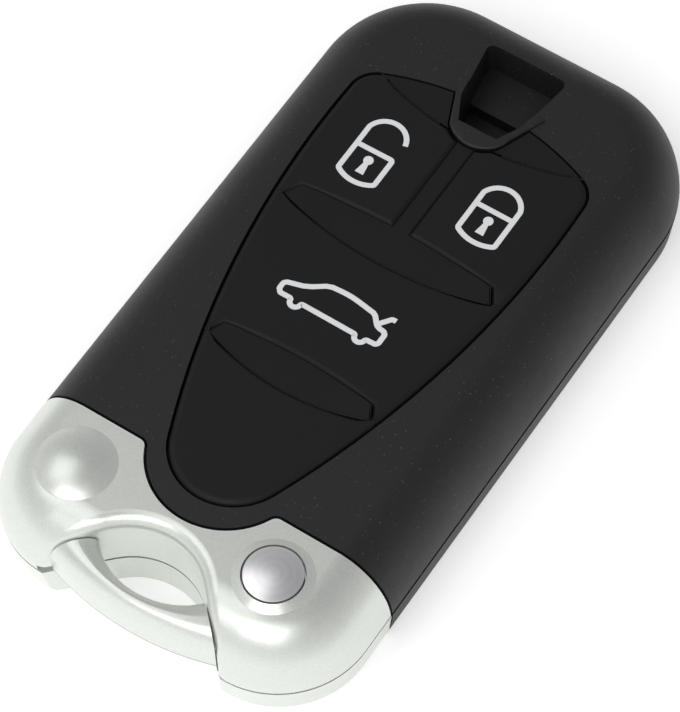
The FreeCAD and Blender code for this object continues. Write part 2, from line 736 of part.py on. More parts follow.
def bow_tip_x():
    """Distance from the middle to the outer corner of the bow's end."""
    start = WEDGE_Y - BOW_Y - BOW_OUTER_RADIUS
    return (start + math.sqrt(2 * BOW_OUTER_RADIUS ** 2 - start ** 2)) / 2


def front_end_cap(outer, cavity):
    cap = rounded_arch(cap_body(outer, cavity, above_seam()))
    cap = cap.common(prism(cap_wire(PART_LINE), 0, 2 * HEIGHT))
    bosses = [
        rod(x, y, SEAM_HEIGHT + PART_LINE, HEIGHT, SCREW_SHANK_RADIUS + BOSS_WALL)
        for x, y in screw_places()
    ]
    bosses = [boss.common(case_blank(WALL / 2)) for boss in bosses]
    cap = cap.fuse([dome(DOME_X, DOME_Y), dome(RELEASE_X, RELEASE_Y)] + bosses)
    cap = cap.cut(rod(RELEASE_X, RELEASE_Y, 0, 2 * HEIGHT, RELEASE_RADIUS + RELEASE_GAP))
    holes = [rod(x, y, 0, SCREW_REACH + FIT, SCREW_SHANK_RADIUS + TOUCH) for x, y in screw_places()]
    return cap.cut([key_slot(), nose_relief()] + holes).removeSplitter()


def rounded_arch(cap):
    """Rounds the upper edge of the arch and of the two diagonals."""
    def on_arch(edge):
        mid = edge.valueAt((edge.FirstParameter + edge.LastParameter) / 2)
        if mid.z < SEAM_HEIGHT + PART_LINE:
            return False
        ends = [v.Point for v in edge.Vertexes] + [mid]
        return all(distance_to_arch(p) < TOUCH for p in ends) and edge.BoundBox.ZLength < SHOULDER_DROP

    edges = [e for e in cap.Edges if on_arch(e)]
    return cap.makeFillet(ARCH_ROUND, edges)


def distance_to_arch(point):
    return arch_wire(0).distToShape(Part.Vertex(point.x, point.y, 0))[0]


def rear_end_cap(outer, cavity):
    boss_top = SEAM_HEIGHT - PART_LINE
    bosses = [rod(x, y, WALL / 2, boss_top, SCREW_HEAD_RADIUS + BOSS_WALL) for x, y in screw_places()]
    bosses = [boss.common(case_blank(WALL / 2)) for boss in bosses]
    seat_radius = SPRING_RADIUS + SPRING_WIRE
    seat = rod(SPRING_X, RELEASE_Y, WALL / 2, SPRING_SEAT_HEIGHT, seat_radius)
    cap = cap_body(outer, cavity, below_seam()).fuse(bosses + [seat, leaf_anchor()])
    cap = cap.common(box(-WIDTH, WIDTH, -LENGTH, LIMIT_Y - PART_LINE / 2, -HEIGHT, 2 * HEIGHT))
    shanks = [rod(x, y, -HEIGHT, HEIGHT, SCREW_SHANK_RADIUS + FIT) for x, y in screw_places()]
    depth = SCREW_SINK + SCREW_HEAD_HEIGHT + TOUCH
    sinks = [rod(x, y, -HEIGHT, depth, SCREW_HEAD_RADIUS + FIT) for x, y in screw_places()]
    return cap.cut([key_slot()] + shanks + sinks).removeSplitter()


def leaf_anchor():
    """Post in the right lobe that the latch leaf is fixed to."""
    x = LEAF_X + LEAF_THICKNESS
    y = TOOTH_Y + LEAF_LENGTH
    return box(x, x + WALL, y - 2 * WALL, y, WALL / 2, LEAF_BASE + LEAF_HEIGHT)


def latch_leaf():
    """Spring-steel strip with a tooth in the key's notch and a ramp under the button's finger."""
    y0 = TOOTH_Y - TOOTH_LENGTH / 2
    top = LEAF_BASE + LEAF_HEIGHT
    strip = box(LEAF_X, LEAF_X + LEAF_THICKNESS, y0, TOOTH_Y + LEAF_LENGTH, LEAF_BASE, top)
    tooth_x = KEY_X + ROOT_WIDTH / 2 - TOOTH_DEPTH
    tooth = polygon([
        (LEAF_X, y0),
        (LEAF_X, y0 + TOOTH_LENGTH),
        (tooth_x + TOOTH_DEPTH / 2, y0 + TOOTH_LENGTH),
        (tooth_x, y0 + TOOTH_LENGTH - TOOTH_DEPTH / 2),
        (tooth_x, y0),
    ])
    ramp = Part.makePolygon([
        vec(LEAF_X, y0, top),
        vec(LEAF_X + LEAF_THICKNESS, y0, top),
        vec(LEAF_X + 3 * LEAF_THICKNESS, y0, top + 2 * LEAF_THICKNESS),
        vec(LEAF_X + 2 * LEAF_THICKNESS, y0, top + 2 * LEAF_THICKNESS),
        vec(LEAF_X, y0, top),
    ])
    tab = Part.Face(ramp).extrude(vec(0, TOOTH_LENGTH, 0))
    return joined(strip, prism(tooth, LEAF_BASE, top), tab)


def release_button():
    """Steel button with a crowned face, a flange that keeps it in, a stem and a latch finger."""
    top = HEIGHT + RELEASE_PROUD
    barrel = rod(RELEASE_X, RELEASE_Y, FLANGE_BASE, top, RELEASE_RADIUS)
    rim = [e for e in barrel.Edges if e.BoundBox.ZMin > top - TOUCH]
    barrel = barrel.makeChamfer(RELEASE_EDGE, rim)
    inner = RELEASE_RADIUS - RELEASE_EDGE
    ball_radius = (inner ** 2 + RELEASE_CROWN ** 2) / (2 * RELEASE_CROWN)
    crown = Part.makeSphere(ball_radius, vec(RELEASE_X, RELEASE_Y, top + RELEASE_CROWN - ball_radius))
    crown = crown.common(rod(RELEASE_X, RELEASE_Y, FLANGE_TOP, 2 * HEIGHT, inner))
    flange = rod(RELEASE_X, RELEASE_Y, FLANGE_BASE, FLANGE_TOP, RELEASE_FLANGE_RADIUS)
    stem_base = SPRING_SEAT_HEIGHT + RELEASE_TRAVEL + STEM_END_GAP
    stem = rod(SPRING_X, RELEASE_Y, stem_base, FLANGE_TOP, STEM_RADIUS)
    x = LEAF_X + 2 * LEAF_THICKNESS
    y0 = TOOTH_Y - TOOTH_LENGTH / 2
    low = LEAF_BASE + LEAF_HEIGHT + 2 * LEAF_THICKNESS + FIT
    finger = box(x, x + 3 * LEAF_THICKNESS, y0, y0 + TOOTH_LENGTH, low, FLANGE_TOP)
    finger = finger.common(rod(RELEASE_X, RELEASE_Y, 0, FLANGE_TOP, RELEASE_FLANGE_RADIUS))
    return joined(barrel, crown, flange, stem, finger)


def release_spring():
    """Compression spring between the seat in the rear cap and the button's flange."""
    wire_radius = SPRING_WIRE / 2
    start = SPRING_SEAT_HEIGHT + wire_radius + TOUCH
    height = FLANGE_BASE - TOUCH - wire_radius - start
    helix = Part.makeHelix(height / SPRING_TURNS, height, SPRING_RADIUS)
    turns = [2 * math.pi * side / SPRING_WIRE_SIDES for side in range(SPRING_WIRE_SIDES)]
    ends = [(SPRING_RADIUS + wire_radius * math.cos(t), 0, wire_radius * math.sin(t)) for t in turns]
    section = polygon(ends)
    coil = Part.Wire(helix).makePipeShell([section], True, True)
    coil.translate(vec(SPRING_X, RELEASE_Y, start))
    return coil


def bow_section(outer, inner):
    """Upright section of the bow between its outer and inner foot: flat sides and a rounded top."""
    across = inner - outer
    up = vec(0, 0, 1)
    foot = across.normalize() * BOW_FOOT_ROUND
    crest = outer + (inner - outer) * BOW_CREST + up * BOW_DEPTH
    outer_low = outer + up * BOW_FOOT_ROUND
    outer_high = outer + up * (BOW_DEPTH - BOW_OUTER_ROUND)
    inner_high = inner + up * (BOW_DEPTH - BOW_INNER_ROUND)
    inner_low = inner + up * BOW_FOOT_ROUND
    return Part.Wire([
        line(outer_low, outer_high),
        quarter_ellipse(outer_high, outer + up * BOW_DEPTH, crest),
        quarter_ellipse(crest, inner + up * BOW_DEPTH, inner_high),
        line(inner_high, inner_low),
        quarter_ellipse(inner_low, inner, inner - foot),
        line(inner - foot, outer + foot),
        quarter_ellipse(outer + foot, outer, outer_low),
    ])


def bow_bar():
    """The bow as one bar that widens from its middle, run on past the two diagonal walls."""
    outer_y = BOW_Y + BOW_OUTER_RADIUS
    inner_y = BOW_Y + BOW_MIDDLE_WIDTH + BOW_INNER_RADIUS
    sections = []
    for step in range(-3, 4):
        inner_x = step / 3 * BOW_OVERRUN * BOW_INNER_RADIUS
        outer_x = inner_x * BOW_SPREAD
        outer = vec(outer_x, outer_y - math.sqrt(BOW_OUTER_RADIUS ** 2 - outer_x ** 2), BOW_BASE)
        inner = vec(inner_x, inner_y - math.sqrt(BOW_INNER_RADIUS ** 2 - inner_x ** 2), BOW_BASE)
        sections.append(bow_section(outer, inner))
    return Part.makeLoft(sections, True)


def key_bow():
    """Curved head of the emergency key and the square root that enters the right lobe."""
    bow = bow_bar().common(prism(wedge_wire(-BOW_GAP), 0, 2 * HEIGHT))
    half = ROOT_WIDTH / 2
    root = box(KEY_X - half, KEY_X + half, -LENGTH, ROOT_INNER_Y, ROOT_BASE, ROOT_TOP)
    root = root.cut(prism(wedge_wire(-BOW_GAP), 0, 2 * HEIGHT))
    slot_half = TANG_THICKNESS / 2 + TOUCH
    tang_z = (ROOT_HEIGHT - TANG_HEIGHT) / 2 - TOUCH
    slot = box(
        KEY_X - slot_half, KEY_X + slot_half, ROOT_INNER_Y - TANG_LENGTH - TOUCH, LENGTH,
        ROOT_BASE + tang_z, ROOT_TOP - tang_z,
    )
    y0 = TOOTH_Y - TOOTH_LENGTH / 2
    notch = box(
        KEY_X + half - TOOTH_DEPTH - FIT, KEY_X + WIDTH, y0 - FIT, y0 + TOOTH_LENGTH + FIT,
        LEAF_BASE - FIT, LEAF_BASE + LEAF_HEIGHT + FIT,
    )
    return joined(bow, root).cut([slot, notch, pin_rod(PIN_CLEARANCE)])


def pin_rod(clearance):
    """Cross pin through root and tang, or its hole where clearance is above zero."""
    length = ROOT_WIDTH - 2 * FIT if clearance == 0 else 2 * WIDTH
    y = ROOT_INNER_Y - PIN_INSET
    return Part.makeCylinder(
        PIN_RADIUS + clearance, length, vec(KEY_X - length / 2, y, KEY_MID_Z), vec(1, 0, 0)
    )


def key_blade():
    """Slim blade, set on edge, with a pointed tip and a milled groove down each side."""
    half = BLADE_THICKNESS / 2
    tip = BLADE_POINT
    side = Part.makePolygon([
        vec(KEY_X - half, ROOT_INNER_Y + TOUCH, BLADE_BASE),
        vec(KEY_X - half, BLADE_TIP_Y - tip, BLADE_BASE),
        vec(KEY_X - half, BLADE_TIP_Y, BLADE_BASE + tip),
        vec(KEY_X - half, BLADE_TIP_Y, BLADE_TOP - tip),
        vec(KEY_X - half, BLADE_TIP_Y - tip, BLADE_TOP),
        vec(KEY_X - half, ROOT_INNER_Y + TOUCH, BLADE_TOP),
        vec(KEY_X - half, ROOT_INNER_Y + TOUCH, BLADE_BASE),
    ])
    blade = Part.Face(side).extrude(vec(BLADE_THICKNESS, 0, 0))
    tang_half = TANG_THICKNESS / 2
    tang = box(
        KEY_X - tang_half, KEY_X + tang_half, ROOT_INNER_Y - TANG_LENGTH, ROOT_INNER_Y + WALL,
        KEY_MID_Z - TANG_HEIGHT / 2, KEY_MID_Z + TANG_HEIGHT / 2,
    )
    groove_start = ROOT_INNER_Y + 2 * WALL
    grooves = [
        box(
            KEY_X + sign * half - BLADE_GROOVE_DEPTH, KEY_X + sign * half + BLADE_GROOVE_DEPTH,
            groove_start, LENGTH,
            KEY_MID_Z - BLADE_GROOVE_HEIGHT / 2, KEY_MID_Z + BLADE_GROOVE_HEIGHT / 2,
        )
        for sign in (-1, 1)
    ]
    return joined(blade, tang).cut(grooves + [pin_rod(PIN_CLEARANCE)])


def bow_pin():
    return pin_rod(0)


def blade_guide():
    """Closed channel that the blade slides in, on three feet."""
    start = ROOT_INNER_Y + GUIDE_SETBACK
    half = BLADE_THICKNESS / 2 + KEY_CLEARANCE
    z0 = BLADE_BASE - KEY_CLEARANCE
    z1 = BLADE_TOP + KEY_CLEARANCE
    body = box(
        KEY_X - GUIDE_HALF, KEY_X + GUIDE_HALF, start, GUIDE_END_Y, z0 - GUIDE_WALL, z1 + GUIDE_WALL
    )
    hollow = box(KEY_X - half, KEY_X + half, -LENGTH, GUIDE_END_Y - GUIDE_WALL, z0, z1)
    span = GUIDE_END_Y - start
    foot = 2 * GUIDE_WALL
    feet = []
    for step in range(3):
        y = start + foot + step * (span - 2 * foot) / 2
        feet.append(box(KEY_X - half, KEY_X + half, y - foot / 2, y + foot / 2, WALL + WEB_SEAT, z0))
    return joined(body, *feet).cut(hollow)


def inner_frame():
    """Ring under the rim of the pad, on posts that stand on the board clear of the key's slot."""
    ring = prism(pad_wire(FRAME_OUT), FRAME_BASE, FRAME_TOP)
    ring = ring.cut(prism(pad_wire(-FRAME_IN), 0, 2 * HEIGHT))
    ring = ring.cut(prism(grown(pocket_wire(), POCKET_WALL + FIT), 0, 2 * HEIGHT))
    ring = ring.cut(prism(grown(collar_wire(), FIT), 0, 2 * HEIGHT))
    rows = [LOCK_AT[1], BOOT_AT[1]]
    places = [(pad_half_width(y), y) for y in rows]
    rows.append(BOARD_NEAR_Y + FRAME_END_POST_INSET)
    places += [(-pad_half_width(y), y) for y in rows]
    posts = [rod(x, y, BOARD_TOP + WEB_SEAT, FRAME_TOP, FRAME_POST_RADIUS) for x, y in places]
    return joined(ring, *posts)


def button_pad(fields):
    """Rubber web held under the rim of the opening, with the fixed lands and the blank field."""
    web = prism(pad_wire(WEB_RIM), WEB_BASE, WEB_TOP)
    inner = prism(pad_wire(-PAD_GAP), WEB_BASE, LAND_TOP)
    raised = lands(0, WEB_BASE, LAND_TOP).common(inner)
    low = inner.cut(box(-WIDTH, WIDTH, LOW_LAND_Y, LENGTH, 0, 2 * HEIGHT))
    under = low.common(box(-WIDTH, WIDTH, -LENGTH, LENGTH, 0, CAP_BASE + FIT))
    pad = web.fuse([raised, under, fields["blank"]])
    around = prism(grown(pocket_wire(), POCKET_WALL + FIT), 0, CEILING + FIT)
    lip = prism(grown(collar_wire(), PAD_GAP), 0, 2 * HEIGHT)
    stems = [rod(x, y, 0, CAP_BASE, STEM_HOLE_RADIUS) for x, y in (UNLOCK_AT, LOCK_AT, BOOT_AT)]
    return pad.cut([around, lip] + stems).removeSplitter()


def button(field, place):
    """One pressed field of the pad with the stem that reaches its switch."""
    stem = rod(place[0], place[1], STEM_BASE, CAP_BASE + FIT, BUTTON_STEM_RADIUS)
    return joined(field, stem)


def switch_body(place):
    x, y = place
    half = SWITCH_SIZE / 2
    body = box(x - half, x + half, y - half, y + half, BOARD_TOP + WEB_SEAT, SWITCH_TOP)
    upright = [e for e in body.Edges if e.BoundBox.ZLength > FIT]
    body = body.makeChamfer(SWITCH_CORNER, upright)
    bore = rod(x, y, BOARD_TOP + PLUNGER_CLEARANCE, HEIGHT, PLUNGER_RADIUS + PLUNGER_CLEARANCE)
    return body.cut(bore)


def plunger(place):
    return rod(place[0], place[1], PLUNGER_TOP - PLUNGER_LENGTH, PLUNGER_TOP, PLUNGER_RADIUS)


def circuit_board():
    """Board with a slot for the blade guide and holes for the locating pins."""
    board = box(-BOARD_HALF_WIDTH, BOARD_HALF_WIDTH, BOARD_NEAR_Y, BOARD_FAR_Y, BOARD_BASE, BOARD_TOP)
    upright = [e for e in board.Edges if e.BoundBox.ZLength > FIT]
    board = board.makeFillet(BOARD_CORNER, upright)
    half = GUIDE_HALF + BOARD_CLEARANCE
    slot = box(
        KEY_X - half, KEY_X + half, -LENGTH, GUIDE_END_Y + BOARD_CLEARANCE, 0, 2 * HEIGHT
    )
    holes = [rod(x, y, 0, HEIGHT, POST_PIN_RADIUS + PLUNGER_CLEARANCE) for x, y in board_posts()]
    return board.cut([slot] + holes)


def control_chip():
    """Flat chip with a row of leads on each of its four sides."""
    x, y = CHIP_AT
    half = CHIP_SIZE / 2
    base = BOARD_TOP + LEAD_HEIGHT / 2
    body = box(x - half, x + half, y - half, y + half, base, BOARD_TOP + CHIP_HEIGHT)
    body = rounded_top(body, LEAD_HEIGHT / 2)
    pitch = CHIP_SIZE / (CHIP_LEADS + 1)
    reach = half + LEAD_LENGTH
    top = BOARD_TOP + LEAD_HEIGHT
    leads = []
    for number in range(CHIP_LEADS):
        at = (number + 1) * pitch - half
        w = LEAD_WIDTH / 2
        leads.append(box(x - reach, x + reach, y + at - w, y + at + w, BOARD_TOP + WEB_SEAT, top))
        leads.append(box(x + at - w, x + at + w, y - reach, y + reach, BOARD_TOP + WEB_SEAT, top))
    return joined(body, *leads)


def clock_crystal():
    x, y = CRYSTAL_AT
    length, width, height = CRYSTAL_SIZE
    can = box(x - length / 2, x + length / 2, y - width / 2, y + width / 2,
              BOARD_TOP + WEB_SEAT, BOARD_TOP + height)
    upright = [e for e in can.Edges if e.BoundBox.ZLength > FIT]
    return can.makeFillet(CRYSTAL_ROUND, upright)


def antenna_core():
    x, y = ANTENNA_AT
    length, width, height = ANTENNA_SIZE
    z0 = BOARD_TOP + WEB_SEAT
    core = box(x - length / 2, x + length / 2, y - width / 2, y + width / 2, z0, z0 + height)
    waist = WINDING_LENGTH / 2 + TOUCH
    depth = WINDING_THICKNESS
    belt = box(x - waist, x + waist, y - WIDTH, y + WIDTH, 0, HEIGHT)
    belt = belt.cut(box(
        x - WIDTH, x + WIDTH, y - width / 2 + depth, y + width / 2 - depth, z0 + depth, z0 + height - depth
    ))
    return core.cut(belt)


def antenna_winding():
    x, y = ANTENNA_AT
    _, width, height = ANTENNA_SIZE
    z0 = BOARD_TOP + WEB_SEAT
    half = WINDING_LENGTH / 2
    depth = WINDING_THICKNESS - TOUCH
    outer = box(x - half, x + half, y - width / 2, y + width / 2, z0, z0 + height)
    inner = box(
        x - WIDTH, x + WIDTH, y - width / 2 + depth, y + width / 2 - depth, z0 + depth, z0 + height - depth
    )
    return outer.cut(inner)


def battery_cell():
    """Coin cell: a wide can with a slightly smaller lid on the negative side."""
    x, y = CELL_AT
    can = rod(x, y, CELL_BASE + CELL_RIM, CELL_TOP, CELL_RADIUS)
    edges = [e for e in can.Edges if e.BoundBox.ZMin > CELL_TOP - TOUCH]
    can = can.makeFillet(CELL_RIM / 2, edges)
    return joined(can, rod(x, y, CELL_BASE, CELL_TOP - CELL_RIM, CELL_RADIUS - 2 * CELL_RIM))


def contact_strip(base, top):
    """Thin bowed strip that fills the height from base to top across the cell."""
    x, y = CELL_AT
    half = CONTACT_HALF_LENGTH
    t = CONTACT_THICKNESS
    inner = arc(vec(x - half, y, base), vec(x, y, top - t), vec(x + half, y, base))
    outer = arc(vec(x + half, y, base + t), vec(x, y, top), vec(x - half, y, base + t))
    wire = Part.Wire([
        inner,
        line(vec(x + half, y, base), vec(x + half, y, base + t)),
        outer,
        line(vec(x - half, y, base + t), vec(x - half, y, base)),
    ])
    face = Part.Face(wire)
    face.translate(vec(0, -CONTACT_WIDTH / 2, 0))
    return face.extrude(vec(0, CONTACT_WIDTH, 0))


def cap_screws():
    """Two small self-tapping screws, as one group of separate solids."""
    screws = []
    for x, y in screw_places():
        head_top = SCREW_SINK + SCREW_HEAD_HEIGHT
        head = rod(x, y, SCREW_SINK, head_top, SCREW_HEAD_RADIUS)
        slot = [
            box(x - SCREW_HEAD_RADIUS / 2, x + SCREW_HEAD_RADIUS / 2,
                y - SCREW_SLOT / 2, y + SCREW_SLOT / 2, 0, SCREW_SINK + SCREW_SLOT),
            box(x - SCREW_SLOT / 2, x + SCREW_SLOT / 2,
                y - SCREW_HEAD_RADIUS / 2, y + SCREW_HEAD_RADIUS / 2, 0, SCREW_SINK + SCREW_SLOT),
        ]
        shank = rod(x, y, SCREW_SINK, SCREW_REACH - SCREW_SHANK_RADIUS, SCREW_SHANK_RADIUS)
        point = Part.makeCone(
            SCREW_SHANK_RADIUS, SCREW_SHANK_RADIUS / 3, SCREW_SHANK_RADIUS,
            vec(x, y, SCREW_REACH - SCREW_SHANK_RADIUS),
        )
        screws.append(joined(head, shank, point).cut(slot))
    return Part.makeCompound(screws)


def main():
    outer = case_blank(0)
    cavity = case_blank(WALL)
    fields = pad_fields()
    places = {"unlock": UNLOCK_AT, "lock": LOCK_AT, "boot": BOOT_AT}
    parts = {
        "front_shell": front_shell(outer, cavity),
        "rear_shell": rear_shell(outer, cavity),
        "front_end_cap": front_end_cap(outer, cavity),
        "rear_end_cap": rear_end_cap(outer, cavity),
        "button_pad": button_pad(fields),
        "inner_frame": inner_frame(),
        "blade_guide": blade_guide(),
        "circuit_board": circuit_board(),
        "control_chip": control_chip(),
        "clock_crystal": clock_crystal(),
        "antenna_core": antenna_core(),
        "antenna_winding": antenna_winding(),
        "battery_cell": battery_cell(),
        "battery_negative_contact": contact_strip(WALL + WEB_SEAT, CELL_BASE - WEB_SEAT),
        "battery_positive_contact": contact_strip(CELL_TOP + WEB_SEAT, BOARD_BASE - WEB_SEAT),
        "cap_screws": cap_screws(),
        "release_button": release_button(),
        "release_spring": release_spring(),
        "latch_leaf": latch_leaf(),
        "key_bow": key_bow(),
        "key_blade": key_blade(),
        "bow_pin": bow_pin(),
    }
    for name, place in places.items():
        parts[name + "_button"] = button(fields[name], place)
        parts[name + "_switch"] = switch_body(place)
        parts[name + "_plunger"] = plunger(place)
    os.makedirs("parts", exist_ok=True)
    for name, shape in parts.items():
        print(name, len(shape.Solids), shape.isValid(), round(shape.Volume, 2))
        shape.exportStep("parts/" + name + ".step")


main()
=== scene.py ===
"""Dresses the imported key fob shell: a finish for every piece, the printed symbols and a studio stage."""
import math
from collections import namedtuple
import bmesh
import bpy
from bpy.props import FloatProperty, FloatVectorProperty, PointerProperty
from mathutils import Matrix, Vector


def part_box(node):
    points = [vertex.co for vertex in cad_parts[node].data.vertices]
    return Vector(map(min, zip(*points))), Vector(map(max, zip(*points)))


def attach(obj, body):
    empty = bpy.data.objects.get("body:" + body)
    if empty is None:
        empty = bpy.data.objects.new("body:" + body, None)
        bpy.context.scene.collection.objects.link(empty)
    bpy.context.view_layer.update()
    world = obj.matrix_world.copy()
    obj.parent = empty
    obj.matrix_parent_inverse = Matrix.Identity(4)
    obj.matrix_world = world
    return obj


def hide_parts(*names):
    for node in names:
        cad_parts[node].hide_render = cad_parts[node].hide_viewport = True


bl_info = {
    "name": "Key fob shell",
    "version": (1, 0, 0),
    "blender": (4, 5, 0),
    "location": "View3D > Sidebar > Key fob",
    "description": "Finishes, printed symbols and stage for a slot-in key fob shell",
    "category": "Object",
}

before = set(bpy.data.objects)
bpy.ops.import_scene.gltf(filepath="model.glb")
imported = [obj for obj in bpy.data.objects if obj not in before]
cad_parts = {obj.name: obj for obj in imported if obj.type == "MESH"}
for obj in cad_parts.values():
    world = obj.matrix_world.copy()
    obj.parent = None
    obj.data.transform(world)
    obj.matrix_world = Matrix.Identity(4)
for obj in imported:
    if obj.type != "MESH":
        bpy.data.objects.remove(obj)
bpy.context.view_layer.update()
MM = 0.001


# Distance under which two points count as one
WELD = 0.001 * MM
# Where nearly all values of a noise lie, and those of a pattern that uses its whole range
NOISE_SPAN = (0.3, 0.7)
FULL_SPAN = (0.0, 1.0)
# Straight pieces in an arc, unless it says otherwise
ARC_STEPS = 16
BAND_TREE = "band_along_line"

# The two lens-shaped lands of the pad, in millimetres on the plan: the height of the tips, half the length,
# how far the edges bulge up and down, where the slit at a tip begins, and where the web in it begins and ends
Lens = namedtuple("Lens", "middle half up down slit web_start web_end")
LENSES = (Lens(middle=7.0, half=12.0, up=2.4, down=1.7, slit=12.05, web_start=12.3, web_end=13.2),
          Lens(middle=-10.3, half=9.2, up=2.2, down=1.6, slit=9.3, web_start=9.45, web_end=9.95))
# How far the solids' lands lie under the pad's top
LAND_DROP = 0.3 * MM

# The camera of the photograph: its right and up directions and its place in millimetres
CAMERA_RIGHT = (0.833514, 0.551904, -0.025621)
CAMERA_UP = (-0.464605, 0.725258, 0.508078)
CAMERA_PLACE = (113.619, -158.160, 330.301)


# Helpers

def linear(hex_code):
    """Turns an sRGB hex colour into linear red, green, blue and alpha."""
    channels = [int(hex_code[i:i + 2], 16) / 255 for i in (1, 3, 5)]
    return [c / 12.92 if c <= 0.04045 else ((c + 0.055) / 1.055) ** 2.4 for c in channels] + [1.0]


def per_mm(size_mm):
    """Scale, on coordinates in metres, of a pattern whose features are size_mm across."""
    return 1 / (size_mm * MM)


def add(tree, kind, inputs=None, **settings):
    """Adds a node: settings are its own properties, and an input is linked to a socket or set to a value."""
    node = tree.nodes.new(kind)
    for name, value in settings.items():
        setattr(node, name, value)
    for name, value in (inputs or {}).items():
        if isinstance(value, bpy.types.NodeSocket):
            tree.links.new(value, node.inputs[name])
        else:
            node.inputs[name].default_value = value
    return node


def new_material(name):
    """An empty node material: returns the material, its tree and its Object coordinates."""
    material = bpy.data.materials.new(name)
    material.use_nodes = True
    tree = material.node_tree
    tree.nodes.clear()
    coordinates = add(tree, "ShaderNodeTexCoord").outputs["Object"]
    return material, tree, coordinates


def toned(tree, colour, pattern, darkest, lightest, span=NOISE_SPAN):
    """The colour made darker and lighter by a pattern, whose values mostly lie in the span."""
    tone = add(tree, "ShaderNodeMapRange", {"Value": pattern, "From Min": span[0], "From Max": span[1],
                                            "To Min": darkest, "To Max": lightest})
    mixed = add(tree, "ShaderNodeMix", {"Factor": 1.0, "A": colour, "B": tone.outputs["Result"]},
                data_type="RGBA", blend_type="MULTIPLY")
    return mixed.outputs["Result"]


def shade(tree, inputs):
    """Closes a material with one surface shader."""
    surface = add(tree, "ShaderNodeBsdfPrincipled", inputs)
    add(tree, "ShaderNodeOutputMaterial", {"Surface": surface.outputs["BSDF"]})


def dress(material, *names):
    """Gives each of the named nodes one material all over."""
    for name in names:
        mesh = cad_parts[name].data
        mesh.materials.clear()
        mesh.materials.append(material)


# Settings

class FobColours(bpy.types.PropertyGroup):
    """Colours of the visible finishes."""
    case: FloatVectorProperty(name="Case", description="Black moulded case", subtype="COLOR",
                              size=4, min=0, max=1, default=linear("#141415"))
    pad: FloatVectorProperty(name="Key pad", description="Rubber of the key pad", subtype="COLOR",
                             size=4, min=0, max=1, default=linear("#0c0c0d"))
    symbol: FloatVectorProperty(name="Symbols", description="Printed symbols", subtype="COLOR",
                                size=4, min=0, max=1, default=linear("#f1f2f5"))
    silver: FloatVectorProperty(name="Silver paint", description="End caps and key head", subtype="COLOR",
                                size=4, min=0, max=1, default=linear("#e3e7e1"))
    steel: FloatVectorProperty(name="Steel", description="Release button", subtype="COLOR",
                               size=4, min=0, max=1, default=linear("#f0eef2"))
    floor: FloatVectorProperty(name="Floor", description="Floor and backdrop", subtype="COLOR",
                               size=4, min=0, max=1, default=linear("#f6f6f6"))


class FobSizes(bpy.types.PropertyGroup):
    """Sizes of the prints, the surface grain and the fine forms that the scene adds."""
    case_grain: FloatProperty(name="Case grain", description="Width of one grain of the case's texture",
                              default=0.16 * MM, min=0.02 * MM, max=2 * MM, precision=5, unit="LENGTH")
    paint_grain: FloatProperty(name="Paint grain", description="Width of one flake of the silver paint",
                               default=0.11 * MM, min=0.02 * MM, max=2 * MM, precision=5, unit="LENGTH")
    stroke: FloatProperty(name="Symbol stroke", description="Width of a printed line",
                          default=0.56 * MM, min=0.1 * MM, max=2 * MM, precision=5, unit="LENGTH")
    soft_edge: FloatProperty(name="Pad edge", description="Rounding of the fields' and lands' edges",
                             default=0.45 * MM, min=0.02 * MM, max=0.6 * MM, precision=5, unit="LENGTH")
    web_drop: FloatProperty(name="Web drop", description="Depth of the lands' web under the pad's top",
                            default=0.305 * MM, min=0, max=2 * MM, precision=5, unit="LENGTH")
    slit_drop: FloatProperty(name="Slit drop", description="Depth of the slits' web under the pad's top",
                             default=0.02 * MM, min=0, max=2 * MM, precision=5, unit="LENGTH")
    seam_gap: FloatProperty(name="Seam gap", description="Gap between the two shells at the seam",
                            default=0.3 * MM, min=0, max=1 * MM, precision=5, unit="LENGTH")
    seam_relief: FloatProperty(name="Seam relief", description="How far each parting face is held back",
                               default=0.12 * MM, min=0, max=0.5 * MM, precision=5, unit="LENGTH")
    crown: FloatProperty(name="Button crown", description="Radius of the release button's crowned top",
                         default=13 * MM, min=5 * MM, max=100 * MM, precision=4, unit="LENGTH")
    print_height: FloatProperty(name="Print height", description="How far the ink stands above the rubber",
                                default=0.02 * MM, min=0.005 * MM, max=0.2 * MM, precision=5, unit="LENGTH")


class FobStage(bpy.types.PropertyGroup):
    """Light and camera."""
    front_light: FloatProperty(name="Front light", description="Power of the large light in front",
                               default=1.05, min=0, max=100, unit="POWER")
    top_light: FloatProperty(name="Top light", description="Power of the large light overhead",
                             default=0.45, min=0, max=100, unit="POWER")
    lens: FloatProperty(name="Lens", description="Focal length of the camera",
                        default=192.24 * MM, min=0.01, max=1, precision=4, unit="LENGTH")


# Finishes

